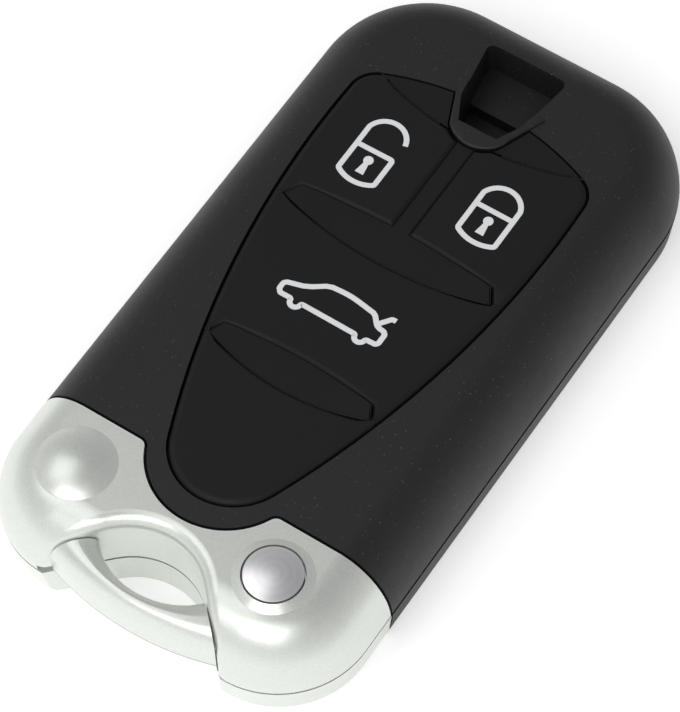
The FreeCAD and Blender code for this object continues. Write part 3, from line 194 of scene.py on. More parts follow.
def case_plastic(colours, sizes):
    """Spark-eroded ABS: an even matt black whose fine grain catches light as pale specks."""
    material, tree, at = new_material("spark_eroded_black_abs")
    # Real spark erosion is finer than this; the grain and the specks are drawn larger, so that they show.
    speck_spacing, cloud_width = 0.30, 9
    speck_core, speck_rim = 0.08, 0.26
    rare, rarest = 0.70, 0.95
    grain = add(tree, "ShaderNodeTexNoise", {"Vector": at, "Scale": 1 / sizes.case_grain,
                                             "Detail": 2.0, "Roughness": 0.6}).outputs["Fac"]
    cloud = add(tree, "ShaderNodeTexNoise", {"Vector": at, "Scale": per_mm(cloud_width), "Detail": 3.0})
    pits = add(tree, "ShaderNodeTexVoronoi", {"Vector": at, "Scale": per_mm(speck_spacing)}).outputs
    speck = add(tree, "ShaderNodeMapRange", {"Value": pits["Distance"], "From Min": speck_core,
                                             "From Max": speck_rim, "To Min": 1.0, "To Max": 0.0})
    chosen = add(tree, "ShaderNodeMapRange", {"Value": pits["Color"], "From Min": rare, "From Max": rarest})
    amount = add(tree, "ShaderNodeMath", {0: speck.outputs["Result"], 1: chosen.outputs["Result"]},
                 operation="MULTIPLY")
    base = toned(tree, colours.case, grain, darkest=0.78, lightest=1.25)
    flecked = add(tree, "ShaderNodeMix", {"Factor": amount.outputs["Value"], "A": base,
                                          "B": linear("#6d6d70")}, data_type="RGBA")
    rough = add(tree, "ShaderNodeMapRange", {"Value": cloud.outputs["Fac"], "From Min": NOISE_SPAN[0],
                                             "From Max": NOISE_SPAN[1], "To Min": 0.50, "To Max": 0.58})
    bump = add(tree, "ShaderNodeBump", {"Strength": 0.55, "Distance": 0.03 * MM, "Height": grain})
    shade(tree, {"Base Color": flecked.outputs["Result"], "Roughness": rough.outputs["Result"],
                 "IOR": 1.5, "Normal": bump.outputs["Normal"]})
    return material


def pad_rubber(colours):
    """Moulded silicone rubber with a matt lacquer: smoother and a shade darker than the case."""
    material, tree, at = new_material("matt_silicone_rubber")
    grain_width, cloud_width = 0.09, 6
    grain = add(tree, "ShaderNodeTexNoise", {"Vector": at, "Scale": per_mm(grain_width), "Detail": 2.0})
    cloud = add(tree, "ShaderNodeTexNoise", {"Vector": at, "Scale": per_mm(cloud_width),
                                             "Detail": 3.0}).outputs["Fac"]
    rough = add(tree, "ShaderNodeMapRange", {"Value": cloud, "From Min": NOISE_SPAN[0],
                                             "From Max": NOISE_SPAN[1], "To Min": 0.56, "To Max": 0.64})
    bump = add(tree, "ShaderNodeBump", {"Strength": 0.25, "Distance": 0.01 * MM,
                                        "Height": grain.outputs["Fac"]})
    shade(tree, {"Base Color": toned(tree, colours.pad, cloud, darkest=0.92, lightest=1.08),
                 "Roughness": rough.outputs["Result"], "IOR": 1.38, "Normal": bump.outputs["Normal"]})
    return material


def symbol_ink(colours):
    """Screen-printed two-part ink: opaque, faintly uneven and a little glossier than the rubber."""
    material, tree, at = new_material("white_screen_ink")
    screen_mesh = 0.15
    marks = add(tree, "ShaderNodeTexNoise", {"Vector": at, "Scale": per_mm(screen_mesh), "Detail": 1.0})
    shade(tree, {"Base Color": toned(tree, colours.symbol, marks.outputs["Fac"], darkest=0.96, lightest=1.0),
                 "Roughness": 0.45})
    return material


def silver_paint(colours, sizes, name, parting_shade_height=None):
    """Metallic lacquer on moulded parts: aluminium flakes under a satin clear coat, with a fine sparkle."""
    material, tree, at = new_material(name)
    # Real flakes are about 0.03 mm wide; they are drawn larger, so that their sparkle shows.
    peel_width = 0.5
    flakes = add(tree, "ShaderNodeTexVoronoi", {"Vector": at, "Scale": 1 / sizes.paint_grain}).outputs
    orange_peel = add(tree, "ShaderNodeTexNoise", {"Vector": at, "Scale": per_mm(peel_width), "Detail": 2.0})
    base = toned(tree, colours.silver, flakes["Color"], darkest=0.93, lightest=1.05, span=FULL_SPAN)
    if parting_shade_height is not None:
        # Painted shade: a dark line round the key's head where the halves of its mould meet, in place of the
        # shade in that fine step
        line_core, line_edge = 0.03 * MM, 0.09 * MM
        height = add(tree, "ShaderNodeSeparateXYZ", {"Vector": at}).outputs["Z"]
        off = add(tree, "ShaderNodeMath", {0: height, 1: parting_shade_height}, operation="SUBTRACT")
        away = add(tree, "ShaderNodeMath", {0: off.outputs["Value"]}, operation="ABSOLUTE")
        line = add(tree, "ShaderNodeMapRange", {"Value": away.outputs["Value"], "From Min": line_core,
                                                "From Max": line_edge, "To Min": 0.75, "To Max": 0.0})
        base = add(tree, "ShaderNodeMix", {"Factor": line.outputs["Result"], "A": base,
                                           "B": linear("#5b5d5a")}, data_type="RGBA").outputs["Result"]
    rough = add(tree, "ShaderNodeMapRange", {"Value": flakes["Color"], "To Min": 0.29, "To Max": 0.38})
    relief = add(tree, "ShaderNodeMath", {0: flakes["Distance"], 1: orange_peel.outputs["Fac"]},
                 operation="ADD")
    bump = add(tree, "ShaderNodeBump", {"Strength": 0.14, "Distance": 0.01 * MM,
                                        "Height": relief.outputs["Value"]})
    shade(tree, {"Base Color": base, "Metallic": 0.66, "Roughness": rough.outputs["Result"],
                 "Coat Weight": 0.25, "Coat Roughness": 0.25, "Normal": bump.outputs["Normal"]})
    return material


def turned_steel(colours, centre):
    """Turned and blasted stainless steel: a soft sheen with faint rings about its own axis."""
    material, tree, at = new_material("turned_stainless_steel")
    # A tool's real marks lie far closer; the rings are drawn wide apart and shallow, so that they just show.
    ring_width, grit_width = 2.6, 0.07
    local = add(tree, "ShaderNodeMapping", {"Vector": at, "Location": [-centre[0], -centre[1], 0]})
    rings = add(tree, "ShaderNodeTexWave", {"Vector": local.outputs["Vector"], "Scale": per_mm(ring_width),
                                            "Distortion": 0.6, "Detail": 1.0, "Detail Scale": 3.0},
                wave_type="RINGS", rings_direction="Z")
    grit = add(tree, "ShaderNodeTexNoise", {"Vector": at, "Scale": per_mm(grit_width), "Detail": 2.0})
    height = add(tree, "ShaderNodeMix", {"Factor": 0.5, "A": rings.outputs["Fac"],
                                         "B": grit.outputs["Fac"]}).outputs["Result"]
    bump = add(tree, "ShaderNodeBump", {"Strength": 0.03, "Distance": 0.002 * MM, "Height": height})
    base = toned(tree, colours.steel, height, darkest=0.95, lightest=1.03, span=FULL_SPAN)
    shade(tree, {"Base Color": base, "Metallic": 0.9, "Roughness": 0.3, "Normal": bump.outputs["Normal"]})
    return material


def plain_metal(name, hex_code, rough, grain_mm, stretch=(1.0, 1.0, 1.0)):
    """Rolled, drawn, ground or plated metal: a fine grain, which a stretch draws out into lines."""
    material, tree, at = new_material(name)
    drawn = add(tree, "ShaderNodeMapping", {"Vector": at, "Scale": stretch})
    grain = add(tree, "ShaderNodeTexNoise", {"Vector": drawn.outputs["Vector"], "Scale": per_mm(grain_mm),
                                             "Detail": 3.0}).outputs["Fac"]
    bump = add(tree, "ShaderNodeBump", {"Strength": 0.2, "Distance": 0.008 * MM, "Height": grain})
    shade(tree, {"Base Color": toned(tree, linear(hex_code), grain, darkest=0.9, lightest=1.05),
                 "Metallic": 1.0, "Roughness": rough, "Normal": bump.outputs["Normal"]})
    return material


def plain_moulding(name, hex_code, rough, grain_mm):
    """Moulded or cast plastic with the fine grain of its mould and a slight cloudiness."""
    material, tree, at = new_material(name)
    grain = add(tree, "ShaderNodeTexNoise", {"Vector": at, "Scale": per_mm(grain_mm),
                                             "Detail": 3.0}).outputs["Fac"]
    bump = add(tree, "ShaderNodeBump", {"Strength": 0.3, "Distance": 0.01 * MM, "Height": grain})
    shade(tree, {"Base Color": toned(tree, linear(hex_code), grain, darkest=0.88, lightest=1.1),
                 "Roughness": rough, "Normal": bump.outputs["Normal"]})
    return material


def board_laminate():
    """Glass-epoxy board: green solder mask with copper tracks that show through as a lighter green."""
    material, tree, at = new_material("solder_masked_laminate")
    track_spacing, cloud_width = 4.0, 0.8
    tracks = add(tree, "ShaderNodeTexBrick", {"Vector": at, "Scale": per_mm(track_spacing),
                                              "Color1": linear("#0d4a2a"), "Color2": linear("#0f5230"),
                                              "Mortar": linear("#1f7a4a"), "Mortar Size": 0.04})
    gloss = add(tree, "ShaderNodeTexNoise", {"Vector": at, "Scale": per_mm(cloud_width), "Detail": 2.0})
    rough = add(tree, "ShaderNodeMapRange", {"Value": gloss.outputs["Fac"], "To Min": 0.25, "To Max": 0.4})
    shade(tree, {"Base Color": tracks.outputs["Color"], "Roughness": rough.outputs["Result"]})
    return material


def wound_copper():
    """Enamelled copper wire, wound turn by turn: fine reddish ridges across the core, with painted shade in
    the grooves between turns and a painted highlight on their crests.
    """
    material, tree, at = new_material("enamelled_copper_wire")
    turn_pitch, turn_relief = 0.9, 0.05 * MM
    turns = add(tree, "ShaderNodeTexWave", {"Vector": at, "Scale": per_mm(turn_pitch), "Distortion": 0.2},
                wave_type="BANDS", bands_direction="X").outputs["Fac"]
    # Painted shade and highlight: the colour runs from dark in the grooves to bright on the crests of the
    # turns
    base = add(tree, "ShaderNodeMix", {"Factor": turns, "A": linear("#5a2413"), "B": linear("#b8622f")},
               data_type="RGBA")
    bump = add(tree, "ShaderNodeBump", {"Strength": 0.6, "Distance": turn_relief, "Height": turns})
    shade(tree, {"Base Color": base.outputs["Result"], "Metallic": 0.8, "Roughness": 0.35,
                 "Normal": bump.outputs["Normal"]})
    return material


# Symbols

def arc(start, middle, end, steps=ARC_STEPS):
    """Points of the arc that runs from start through middle to end."""
    (ax, ay), (bx, by), (cx, cy) = start, middle, end
    aa, bb, cc = ax * ax + ay * ay, bx * bx + by * by, cx * cx + cy * cy
    scale = 2 * (ax * (by - cy) + bx * (cy - ay) + cx * (ay - by))
    centre_x = (aa * (by - cy) + bb * (cy - ay) + cc * (ay - by)) / scale
    centre_y = (aa * (cx - bx) + bb * (ax - cx) + cc * (bx - ax)) / scale
    radius = math.hypot(ax - centre_x, ay - centre_y)
    first, through, last = (math.atan2(y - centre_y, x - centre_x) for x, y in (start, middle, end))
    turn_in = (through - first + math.pi) % math.tau - math.pi
    turn_out = (last - through + math.pi) % math.tau - math.pi
    angles = [first + (turn_in + turn_out) * step / steps for step in range(steps + 1)]
    return [(centre_x + radius * math.cos(angle), centre_y + radius * math.sin(angle)) for angle in angles]


def keyhole(x, y):
    """Closed outline of a keyhole round x, y: a round head above a slot that widens downwards."""
    head_radius = 0.53
    neck_half, neck_drop = 0.28, 0.45
    foot_half, foot_drop = 0.49, 1.76
    head_steps = 24
    neck = y - neck_drop
    head = arc((x + neck_half, neck), (x, y + head_radius), (x - neck_half, neck), head_steps)
    return head + [(x - foot_half, y - foot_drop), (x + foot_half, y - foot_drop)]


def unlock_lines():
    """Open padlock, in millimetres on the plan: closed body first, then the raised shackle."""
    body = [(-9.35, 15.87), (-5.08, 15.93), (-5.07, 12.45)]
    body += arc((-5.07, 12.45), (-7.19, 11.77), (-9.35, 12.44))[1:]
    shackle = [(-9.35, 15.65)] + arc((-9.36, 18.23), (-7.19, 19.85), (-5.00, 18.06))
    return [(body, True), (shackle, False)], keyhole(-7.18, 14.66)


def lock_lines():
    """Closed padlock: the whole outline first, then the bar between body and shackle."""
    outline = arc((4.59, 17.74), (6.77, 19.22), (8.95, 17.59))
    outline += [(8.96, 12.74)]
    outline += arc((8.96, 12.74), (6.80, 12.17), (4.60, 12.84))[1:]
    return [(outline, True), ([(4.69, 16.24), (8.86, 16.25)], False)], keyhole(6.82, 15.02)


def boot_lines():
    """Side view of a car with its boot lid raised: the closed body first, then the lid."""
    roof_steps, wheel_steps = 8, 10
    body = [(-5.99, -2.98), (-6.33, -2.60), (-6.33, -1.87), (-6.06, -1.61), (-4.47, -1.16), (-3.64, -0.73)]
    body += [(-2.54, 0.05), (-1.93, 0.28)]
    body += arc((-1.35, 0.32), (0.22, 0.36), (1.30, 0.25), roof_steps)
    body += [(3.06, -0.02), (3.37, -0.20), (4.12, -1.03), (4.53, -1.20), (5.07, -1.27), (5.36, -1.55)]
    body += [(5.36, -2.67), (5.17, -2.93), (4.22, -2.97)]
    body += arc((4.04, -3.05), (3.46, -3.64), (2.89, -3.06), wheel_steps)
    body += [(2.71, -3.01), (-3.35, -2.98)]
    body += arc((-3.49, -3.05), (-4.08, -3.69), (-4.67, -3.07), wheel_steps)
    body += [(-4.84, -2.97)]
    lid = [(4.14, -0.80), (5.03, 0.36), (5.47, 0.36)]
    return [(body, True), (lid, False)], None


def band_tree():
    """Node tree that runs a band of one width and height along each line, built when first asked for."""
    if BAND_TREE in bpy.data.node_groups:
        return bpy.data.node_groups[BAND_TREE]
    corner_points = 6
    tree = bpy.data.node_groups.new(BAND_TREE, "GeometryNodeTree")
    face = tree.interface
    face.new_socket("Lines", in_out="INPUT", socket_type="NodeSocketGeometry")
    for name in ("Width", "Height", "Corner"):
        face.new_socket(name, in_out="INPUT", socket_type="NodeSocketFloat")
    face.new_socket("Material", in_out="INPUT", socket_type="NodeSocketMaterial")
    face.new_socket("Bands", in_out="OUTPUT", socket_type="NodeSocketGeometry")
    given = add(tree, "NodeGroupInput").outputs
    lines = add(tree, "GeometryNodeMeshToCurve", {"Mesh": given["Lines"]})
    corners = add(tree, "GeometryNodeFilletCurve", {"Curve": lines.outputs["Curve"], "Count": corner_points,
                                                    "Radius": given["Corner"], "Limit Radius": True},
                  mode="POLY")
    flat = add(tree, "GeometryNodeSetCurveNormal", {"Curve": corners.outputs["Curve"]}, mode="Z_UP")
    band = add(tree, "GeometryNodeCurvePrimitiveQuadrilateral", {"Width": given["Width"],
                                                                "Height": given["Height"]})
    swept = add(tree, "GeometryNodeCurveToMesh", {"Curve": flat.outputs["Curve"],
                                                  "Profile Curve": band.outputs["Curve"], "Fill Caps": True})
    real = add(tree, "GeometryNodeRealizeInstances", {"Geometry": swept.outputs["Mesh"]})
    finished = add(tree, "GeometryNodeSetMaterial", {"Geometry": real.outputs["Geometry"],
                                                     "Material": given["Material"]})
    add(tree, "NodeGroupOutput", {"Bands": finished.outputs["Geometry"]})
    return tree


def level_all_along(x, y):
    """The rise of a line that stays level."""
    return 0


def lines_object(name, lines, height, rise=level_all_along):
    """Mesh of bare edges that holds centre lines, each a hair lower than the last: no faces coincide."""
    stagger = 0.004 * MM
    mesh = bpy.data.meshes.new(name)
    points, edges = [], []
    for order, (line, closed) in enumerate(lines):
        first = len(points)
        lift = height - order * stagger
        points += [(x * MM, y * MM, lift + rise(x, y) * MM) for x, y in line]
        count = len(line)
        edges += [(first + i, first + (i + 1) % count) for i in range(count if closed else count - 1)]
    mesh.from_pydata(points, edges, [])
    piece = bpy.data.objects.new(name, mesh)
    bpy.context.scene.collection.objects.link(piece)
    return piece


def bake(piece):
    """Keeps what a piece's modifiers make as its plain mesh and takes them off."""
    bpy.context.view_layer.update()
    evaluated = piece.evaluated_get(bpy.context.evaluated_depsgraph_get())
    mesh = bpy.data.meshes.new_from_object(evaluated)
    piece.modifiers.clear()
    piece.data = mesh


def apply_tree(piece, tree, values):
    """Runs a node tree on a piece and keeps the result."""
    modifier = piece.modifiers.new(tree.name, "NODES")
    modifier.node_group = tree
    for item in tree.interface.items_tree:
        if item.in_out == "INPUT" and item.name in values:
            modifier[item.identifier] = values[item.name]
    bake(piece)


def add_patch(piece, outline, low, high):
    """Adds a filled, closed patch of ink to a symbol."""
    form = bmesh.new()
    form.from_mesh(piece.data)
    bottom = [form.verts.new((x * MM, y * MM, low)) for x, y in outline]
    top = [form.verts.new((x * MM, y * MM, high)) for x, y in outline]
    count = len(outline)
    form.faces.new(bottom[::-1])
    form.faces.new(top)
    for i in range(count):
        j = (i + 1) % count
        form.faces.new((bottom[i], bottom[j], top[j], top[i]))
    bmesh.ops.recalc_face_normals(form, faces=form.faces)
    form.to_mesh(piece.data)
    form.free()


# Key pad and reworked copies

def lens_line(lens):
    """Line round one lens of the pad, halfway across the gap beside it, in millimetres."""
    half_gap = 0.06
    shoulder_along, shoulder_up = 0.92, 0.65
    steps = 2 * ARC_STEPS
    tip = lens.half + 2 * half_gap
    shoulder = shoulder_along * tip
    shoulder_level = lens.middle + shoulder_up * lens.up + half_gap
    highest = (0, lens.middle + lens.up + half_gap)
    lowest = (0, lens.middle - lens.down - half_gap)
    far_edge = arc((-shoulder, shoulder_level), highest, (shoulder, shoulder_level), steps)
    near_edge = arc((tip, lens.middle), lowest, (-tip, lens.middle), steps)
    return far_edge + near_edge


def web_lines():
    """Lines halfway across the gaps beside the sunk lands."""
    rim_half, rim_end, rim_middle = 13.2, 24.99, 22.29
    collar_half, corner_half = 3.2, 12.9
    bridge_half, bridge_start, bridge_end = 0.91, 9.5, 21.6
    rim_steps = 44
    top = arc((-rim_half, rim_end), (0, rim_middle), (rim_half, rim_end), rim_steps)
    lines = [(lens_line(lens), True) for lens in LENSES]
    for side in (-1, 1):
        lines.append(([point for point in top if collar_half < side * point[0] < corner_half], False))
        lines.append(([(side * bridge_half, bridge_start), (side * bridge_half, bridge_end)], False))
    return lines


def slit_lines():
    """Lines along the slits that part the raised fields from a lens' tip to the rim."""
    return [([(side * lens.web_start, lens.middle), (side * lens.web_end, lens.middle)], False)
            for side in (-1, 1) for lens in LENSES]


def tip_rise(x, y):
    """How far a land has risen towards the pad's top at a place near a lens' tip, in millimetres."""
    full_rise = 0.28
    reach_across, reach_beyond = 2.7, 0.5
    rise_start, rise_length = 0.45, 0.5
    for lens in LENSES:
        if abs(y - lens.middle) < reach_across and abs(x) < lens.half + reach_beyond:
            # A smooth step, level at both of its ends
            along = min(max((abs(x) / lens.half - rise_start) / rise_length, 0), 1)
            return full_rise * along * along * (3 - 2 * along)
    return 0


def fade_lands(form):
    """Cuts the sunk lands into narrow strips and lets them rise to the pad's top at their tips."""
    strip, strips_each_side = 1.1 * MM, 12
    tolerance = 0.002 * MM
    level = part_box("button_pad")[1].z - LAND_DROP
    for step in range(-strips_each_side, strips_each_side):
        faces = [face for face in form.faces if abs(face.calc_center_median().z - level) < tolerance]
        near = {edge for face in faces for edge in face.edges}
        points = {vert for face in faces for vert in face.verts}
        bmesh.ops.bisect_plane(form, geom=faces + list(near) + list(points), dist=WELD,
                               plane_co=((step + 0.5) * strip, 0, 0), plane_no=(1, 0, 0))
    for vert in form.verts:
        if abs(vert.co.z - level) < tolerance:
            vert.co.z += tip_rise(vert.co.x / MM, vert.co.y / MM) * MM


def faces_a_gap(edge):
    """Whether an edge lies between a flat top and an upright wall, and not beside a slit."""
    slit_half = 0.1
    steepest_top, leaning_wall = 0.95, 0.3
    if len(edge.link_faces) != 2 or not edge.is_convex:
        return False
    middle = (edge.verts[0].co + edge.verts[1].co) / 2 / MM
    if any(abs(middle.y - lens.middle) < slit_half and abs(middle.x) > lens.slit for lens in LENSES):
        return False
    wall, top = sorted(abs(face.normal.z) for face in edge.link_faces)
    return wall < leaning_wall and top > steepest_top


def plain_copy(name, new_name):
    """A loose mesh and a welded bmesh with the shape of a node."""
    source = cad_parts[name].data
    mesh = bpy.data.meshes.new(new_name)
    mesh.from_pydata([v.co for v in source.vertices], [], [p.vertices for p in source.polygons])
    form = bmesh.new()
    form.from_mesh(mesh)
    bmesh.ops.remove_doubles(form, verts=form.verts, dist=WELD)
    return mesh, form


def finish_copy(mesh, form, material):
    """Makes an object of a reworked copy, with even shading between its sharp edges."""
    sharp_angle = math.radians(40)
    form.to_mesh(mesh)
    form.free()
    mesh.shade_smooth()
    mesh.set_sharp_from_angle(angle=sharp_angle)
    mesh.materials.append(material)
    piece = bpy.data.objects.new(mesh.name, mesh)
    bpy.context.scene.collection.objects.link(piece)
    even = piece.modifiers.new("even_shading", "WEIGHTED_NORMAL")
    even.keep_sharp = True
    bake(piece)
    return piece


def relieved_copy(name, level, relief, material):
    """A shell whose parting face is held back a little, so that the seam is the groove that the eye sees."""
    nearly_level, tolerance = 0.98, 0.01 * MM
    mesh, form = plain_copy(name, name + "_relieved")
    rim = {vert for face in form.faces for vert in face.verts
           if abs(face.normal.z) > nearly_level and abs(vert.co.z - level) < tolerance}
    for vert in rim:
        vert.co.z += relief
    return finish_copy(mesh, form, material)


def crowned_copy(name, crown_radius, material):
    """The turned button with its top crowned like a lens, from its middle down to its edge."""
    crown_depth = 0.3 * MM
    mesh, form = plain_copy(name, name + "_crowned")
    low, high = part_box(name)
    middle = (low + high) / 2
    for vert in form.verts:
        across = math.hypot(vert.co.x - middle.x, vert.co.y - middle.y)
        if vert.co.z > high.z - crown_depth:
            vert.co.z = min(vert.co.z, high.z - across * across / (2 * crown_radius))
    return finish_copy(mesh, form, material)


def moulded_copy(name, soft_edge, material):
    """A rubber node whose upper edges along the gaps are rounded, as they leave the mould."""
    flat_angle = math.radians(0.8)
    top_band, shortest = 0.05 * MM, 0.12 * MM
    edge_steps, edge_profile = 4, 0.32
    mesh, form = plain_copy(name, name + "_moulded")
    bmesh.ops.dissolve_limit(form, angle_limit=flat_angle, verts=form.verts, edges=form.edges)
    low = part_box(name)[1].z - top_band
    upper = [edge for edge in form.edges if min(v.co.z for v in edge.verts) > low and faces_a_gap(edge)]
    if name == "button_pad":
        fade_lands(form)
    edges = [edge for edge in upper if edge.calc_length() > shortest]
    bmesh.ops.bevel(form, geom=edges, offset=soft_edge, offset_type="OFFSET", segments=edge_steps,
                    profile=edge_profile, affect="EDGES", clamp_overlap=False)
    return finish_copy(mesh, form, material)


# Operators

class FOB_OT_case(bpy.types.Operator):
    """Finish the two black halves of the case"""
    bl_idname = "fob.case"
    bl_label = "Case"

    def execute(self, context):
        sizes = context.scene.fob_sizes
        plastic = case_plastic(context.scene.fob_colours, sizes)
        dress(plastic, "front_shell", "rear_shell")
        upper_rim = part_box("front_shell")[0].z
        relief = sizes.seam_relief
        for name, level, rise in (("front_shell", upper_rim, relief),
                                  ("rear_shell", upper_rim - sizes.seam_gap, -relief)):
            shell = relieved_copy(name, level, rise, plastic)
            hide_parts(name)
            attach(shell, "fob")
        return {"FINISHED"}


class FOB_OT_pad(bpy.types.Operator):
    """Mould the rubber key pad, its three pressed fields and the web that joins them"""
    bl_idname = "fob.pad"
    bl_label = "Key pad"

    def execute(self, context):
        sizes = context.scene.fob_sizes
        rubber = pad_rubber(context.scene.fob_colours)
        bodies = {"button_pad": "fob", "unlock_button": "unlock_key", "lock_button": "lock_key",
                  "boot_button": "boot_key"}
        dress(rubber, *bodies)
        for name, body in bodies.items():
            piece = moulded_copy(name, sizes.soft_edge, rubber)
            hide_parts(name)
            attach(piece, body)
        web_width, web_depth = 0.115 * MM, 0.5 * MM
        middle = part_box("button_pad")[1].z - web_depth / 2
        for name, lines, drop, rise in (("pad_web", web_lines(), sizes.web_drop, tip_rise),
                                        ("slit_web", slit_lines(), sizes.slit_drop, level_all_along)):
            web = lines_object(name, lines, middle - drop, rise)
            apply_tree(web, band_tree(), {"Width": web_width, "Height": web_depth, "Corner": 0.0,
                                          "Material": rubber})
            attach(web, "fob")
        return {"FINISHED"}


class FOB_OT_symbols(bpy.types.Operator):
    """Print the padlocks and the car on the three fields"""
    bl_idname = "fob.symbols"
    bl_label = "Symbols"

    def execute(self, context):
        sizes = context.scene.fob_sizes
        ink = symbol_ink(context.scene.fob_colours)
        corner_share = 0.55
        for name, drawing in (("unlock", unlock_lines()), ("lock", lock_lines()), ("boot", boot_lines())):
            lines, patch = drawing
            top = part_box(name + "_button")[1].z
            piece = lines_object(name + "_symbol", lines, top)
            apply_tree(piece, band_tree(), {"Width": sizes.stroke, "Height": 2 * sizes.print_height,
                                            "Corner": corner_share * sizes.stroke, "Material": ink})
            if patch:
                add_patch(piece, patch, top - sizes.print_height, top + sizes.print_height)
            piece.data.shade_flat()
            if not piece.data.materials:
                raise RuntimeError("the printed symbol " + name + " has no ink")
            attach(piece, name + "_key")
        return {"FINISHED"}


class FOB_OT_silver(bpy.types.Operator):
    """Finish the silver end and the head of the emergency key"""
    bl_idname = "fob.silver"
    bl_label = "Silver end"

    def execute(self, context):
        colours, sizes = context.scene.fob_colours, context.scene.fob_sizes
        dress(silver_paint(colours, sizes, "satin_silver_lacquer"), "front_end_cap", "rear_end_cap")
        # Height above the key head's underside of the painted shade line where the halves of its mould meet
        parting_height = 1.45 * MM
        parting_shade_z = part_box("key_bow")[0].z + parting_height
        dress(silver_paint(colours, sizes, "satin_silver_key_head", parting_shade_z), "key_bow")
        return {"FINISHED"}


class FOB_OT_metalwork(bpy.types.Operator):
    """Finish the release button, the blade and the small springs and screws"""
    bl_idname = "fob.metalwork"
    bl_label = "Metalwork"

    def execute(self, context):
        low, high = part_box("release_button")
        steel = turned_steel(context.scene.fob_colours, (low + high) / 2)
        dress(steel, "release_button")
        button = crowned_copy("release_button", context.scene.fob_sizes.crown, steel)
        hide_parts("release_button")
        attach(button, "release")
        # Grinding leaves long fine lines down the blade.
        lengthwise = (1.0, 0.04, 1.0)
        ground = plain_metal("ground_key_steel", "#c3c4c6", rough=0.26, grain_mm=0.08, stretch=lengthwise)
        dress(ground, "key_blade")
        # Tempering leaves spring steel an even, slightly dull grey.
        tempered = plain_metal("blued_spring_steel", "#8f9296", rough=0.3, grain_mm=0.1)
        dress(tempered, "release_spring", "latch_leaf")
        dress(tempered, "battery_positive_contact", "battery_negative_contact")
        # Blackening takes the shine off the screws and the pin.
        blackened = plain_metal("blackened_screw_steel", "#5c5c60", rough=0.38, grain_mm=0.1)
        dress(blackened, "cap_screws", "bow_pin")
        return {"FINISHED"}


class FOB_OT_inside(bpy.types.Operator):
    """Finish the board, the cell and what carries them"""
    bl_idname = "fob.inside"
    bl_label = "Inside"

    def execute(self, context):
        dress(board_laminate(), "circuit_board")
        # Filled epoxy comes out of its mould dull and nearly black.
        dress(plain_moulding("epoxy_chip_moulding", "#232325", rough=0.55, grain_mm=0.1), "control_chip")
        # A drawn can keeps a bright skin with a faint mottle.
        dress(plain_metal("drawn_crystal_can", "#bfc0c2", rough=0.3, grain_mm=0.15), "clock_crystal")
        # Ferrite is pressed powder: matt, dark and a little brown.
        dress(plain_moulding("sintered_ferrite", "#3b3936", rough=0.6, grain_mm=0.2), "antenna_core")
        dress(wound_copper(), "antenna_winding")
        # Nickel plate over a pressed can is the brightest metal inside.
        dress(plain_metal("nickel_plated_cell_can", "#cfd0d2", rough=0.24, grain_mm=0.3), "battery_cell")
        # Glass fibres dull the surface of the nylon.
        nylon = plain_moulding("glass_filled_nylon", "#39393c", rough=0.6, grain_mm=0.25)
        dress(nylon, "inner_frame", "blade_guide")
        # The switches are a smooth pale grey, and the plungers a dark and slightly waxy one.
        switch = plain_moulding("moulded_switch_body", "#a5a6a8", rough=0.45, grain_mm=0.2)
        dress(switch, "unlock_switch", "lock_switch", "boot_switch")
        acetal = plain_moulding("acetal_plunger", "#2a2a2c", rough=0.35, grain_mm=0.2)
        dress(acetal, "unlock_plunger", "lock_plunger", "boot_plunger")
        return {"FINISHED"}


def soft_light(name, power, size, place):
    """A large soft white area light at place, turned towards the fob."""
    aim = Vector((0, 0, 0.01))
    data = bpy.data.lights.new(name, "AREA")
    data.shape = "RECTANGLE"
    data.size, data.size_y = size
    data.energy = power
    lamp = bpy.data.objects.new(name, data)
    bpy.context.scene.collection.objects.link(lamp)
    lamp.location = place
    lamp.rotation_euler = (aim - Vector(place)).to_track_quat("-Z", "Y").to_euler()


def studio_world():
    """Plain white surroundings, brighter in front and low down than behind and overhead."""
    in_front, behind = 1.0, 0.55
    low_down, overhead = 0.95, 0.40
    low_rise, high_rise = 0.1, 0.9
    world = bpy.data.worlds.new("studio_world")
    bpy.context.scene.world = world
    world.use_nodes = True
    tree = world.node_tree
    tree.nodes.clear()
    direction = add(tree, "ShaderNodeTexCoord").outputs["Object"]
    way = add(tree, "ShaderNodeSeparateXYZ", {"Vector": direction}).outputs
    depth = add(tree, "ShaderNodeMapRange", {"Value": way["Y"], "From Min": -1.0, "From Max": 1.0,
                                             "To Min": in_front, "To Max": behind})
    rise = add(tree, "ShaderNodeMapRange", {"Value": way["Z"], "From Min": low_rise, "From Max": high_rise,
                                            "To Min": low_down, "To Max": overhead})
    level = add(tree, "ShaderNodeMath", {0: depth.outputs["Result"], 1: rise.outputs["Result"]},
                operation="MULTIPLY")
    around = add(tree, "ShaderNodeBackground", {"Color": linear("#ffffff"),
                                                "Strength": level.outputs["Value"]})
    add(tree, "ShaderNodeOutputWorld", {"Surface": around.outputs["Background"]})


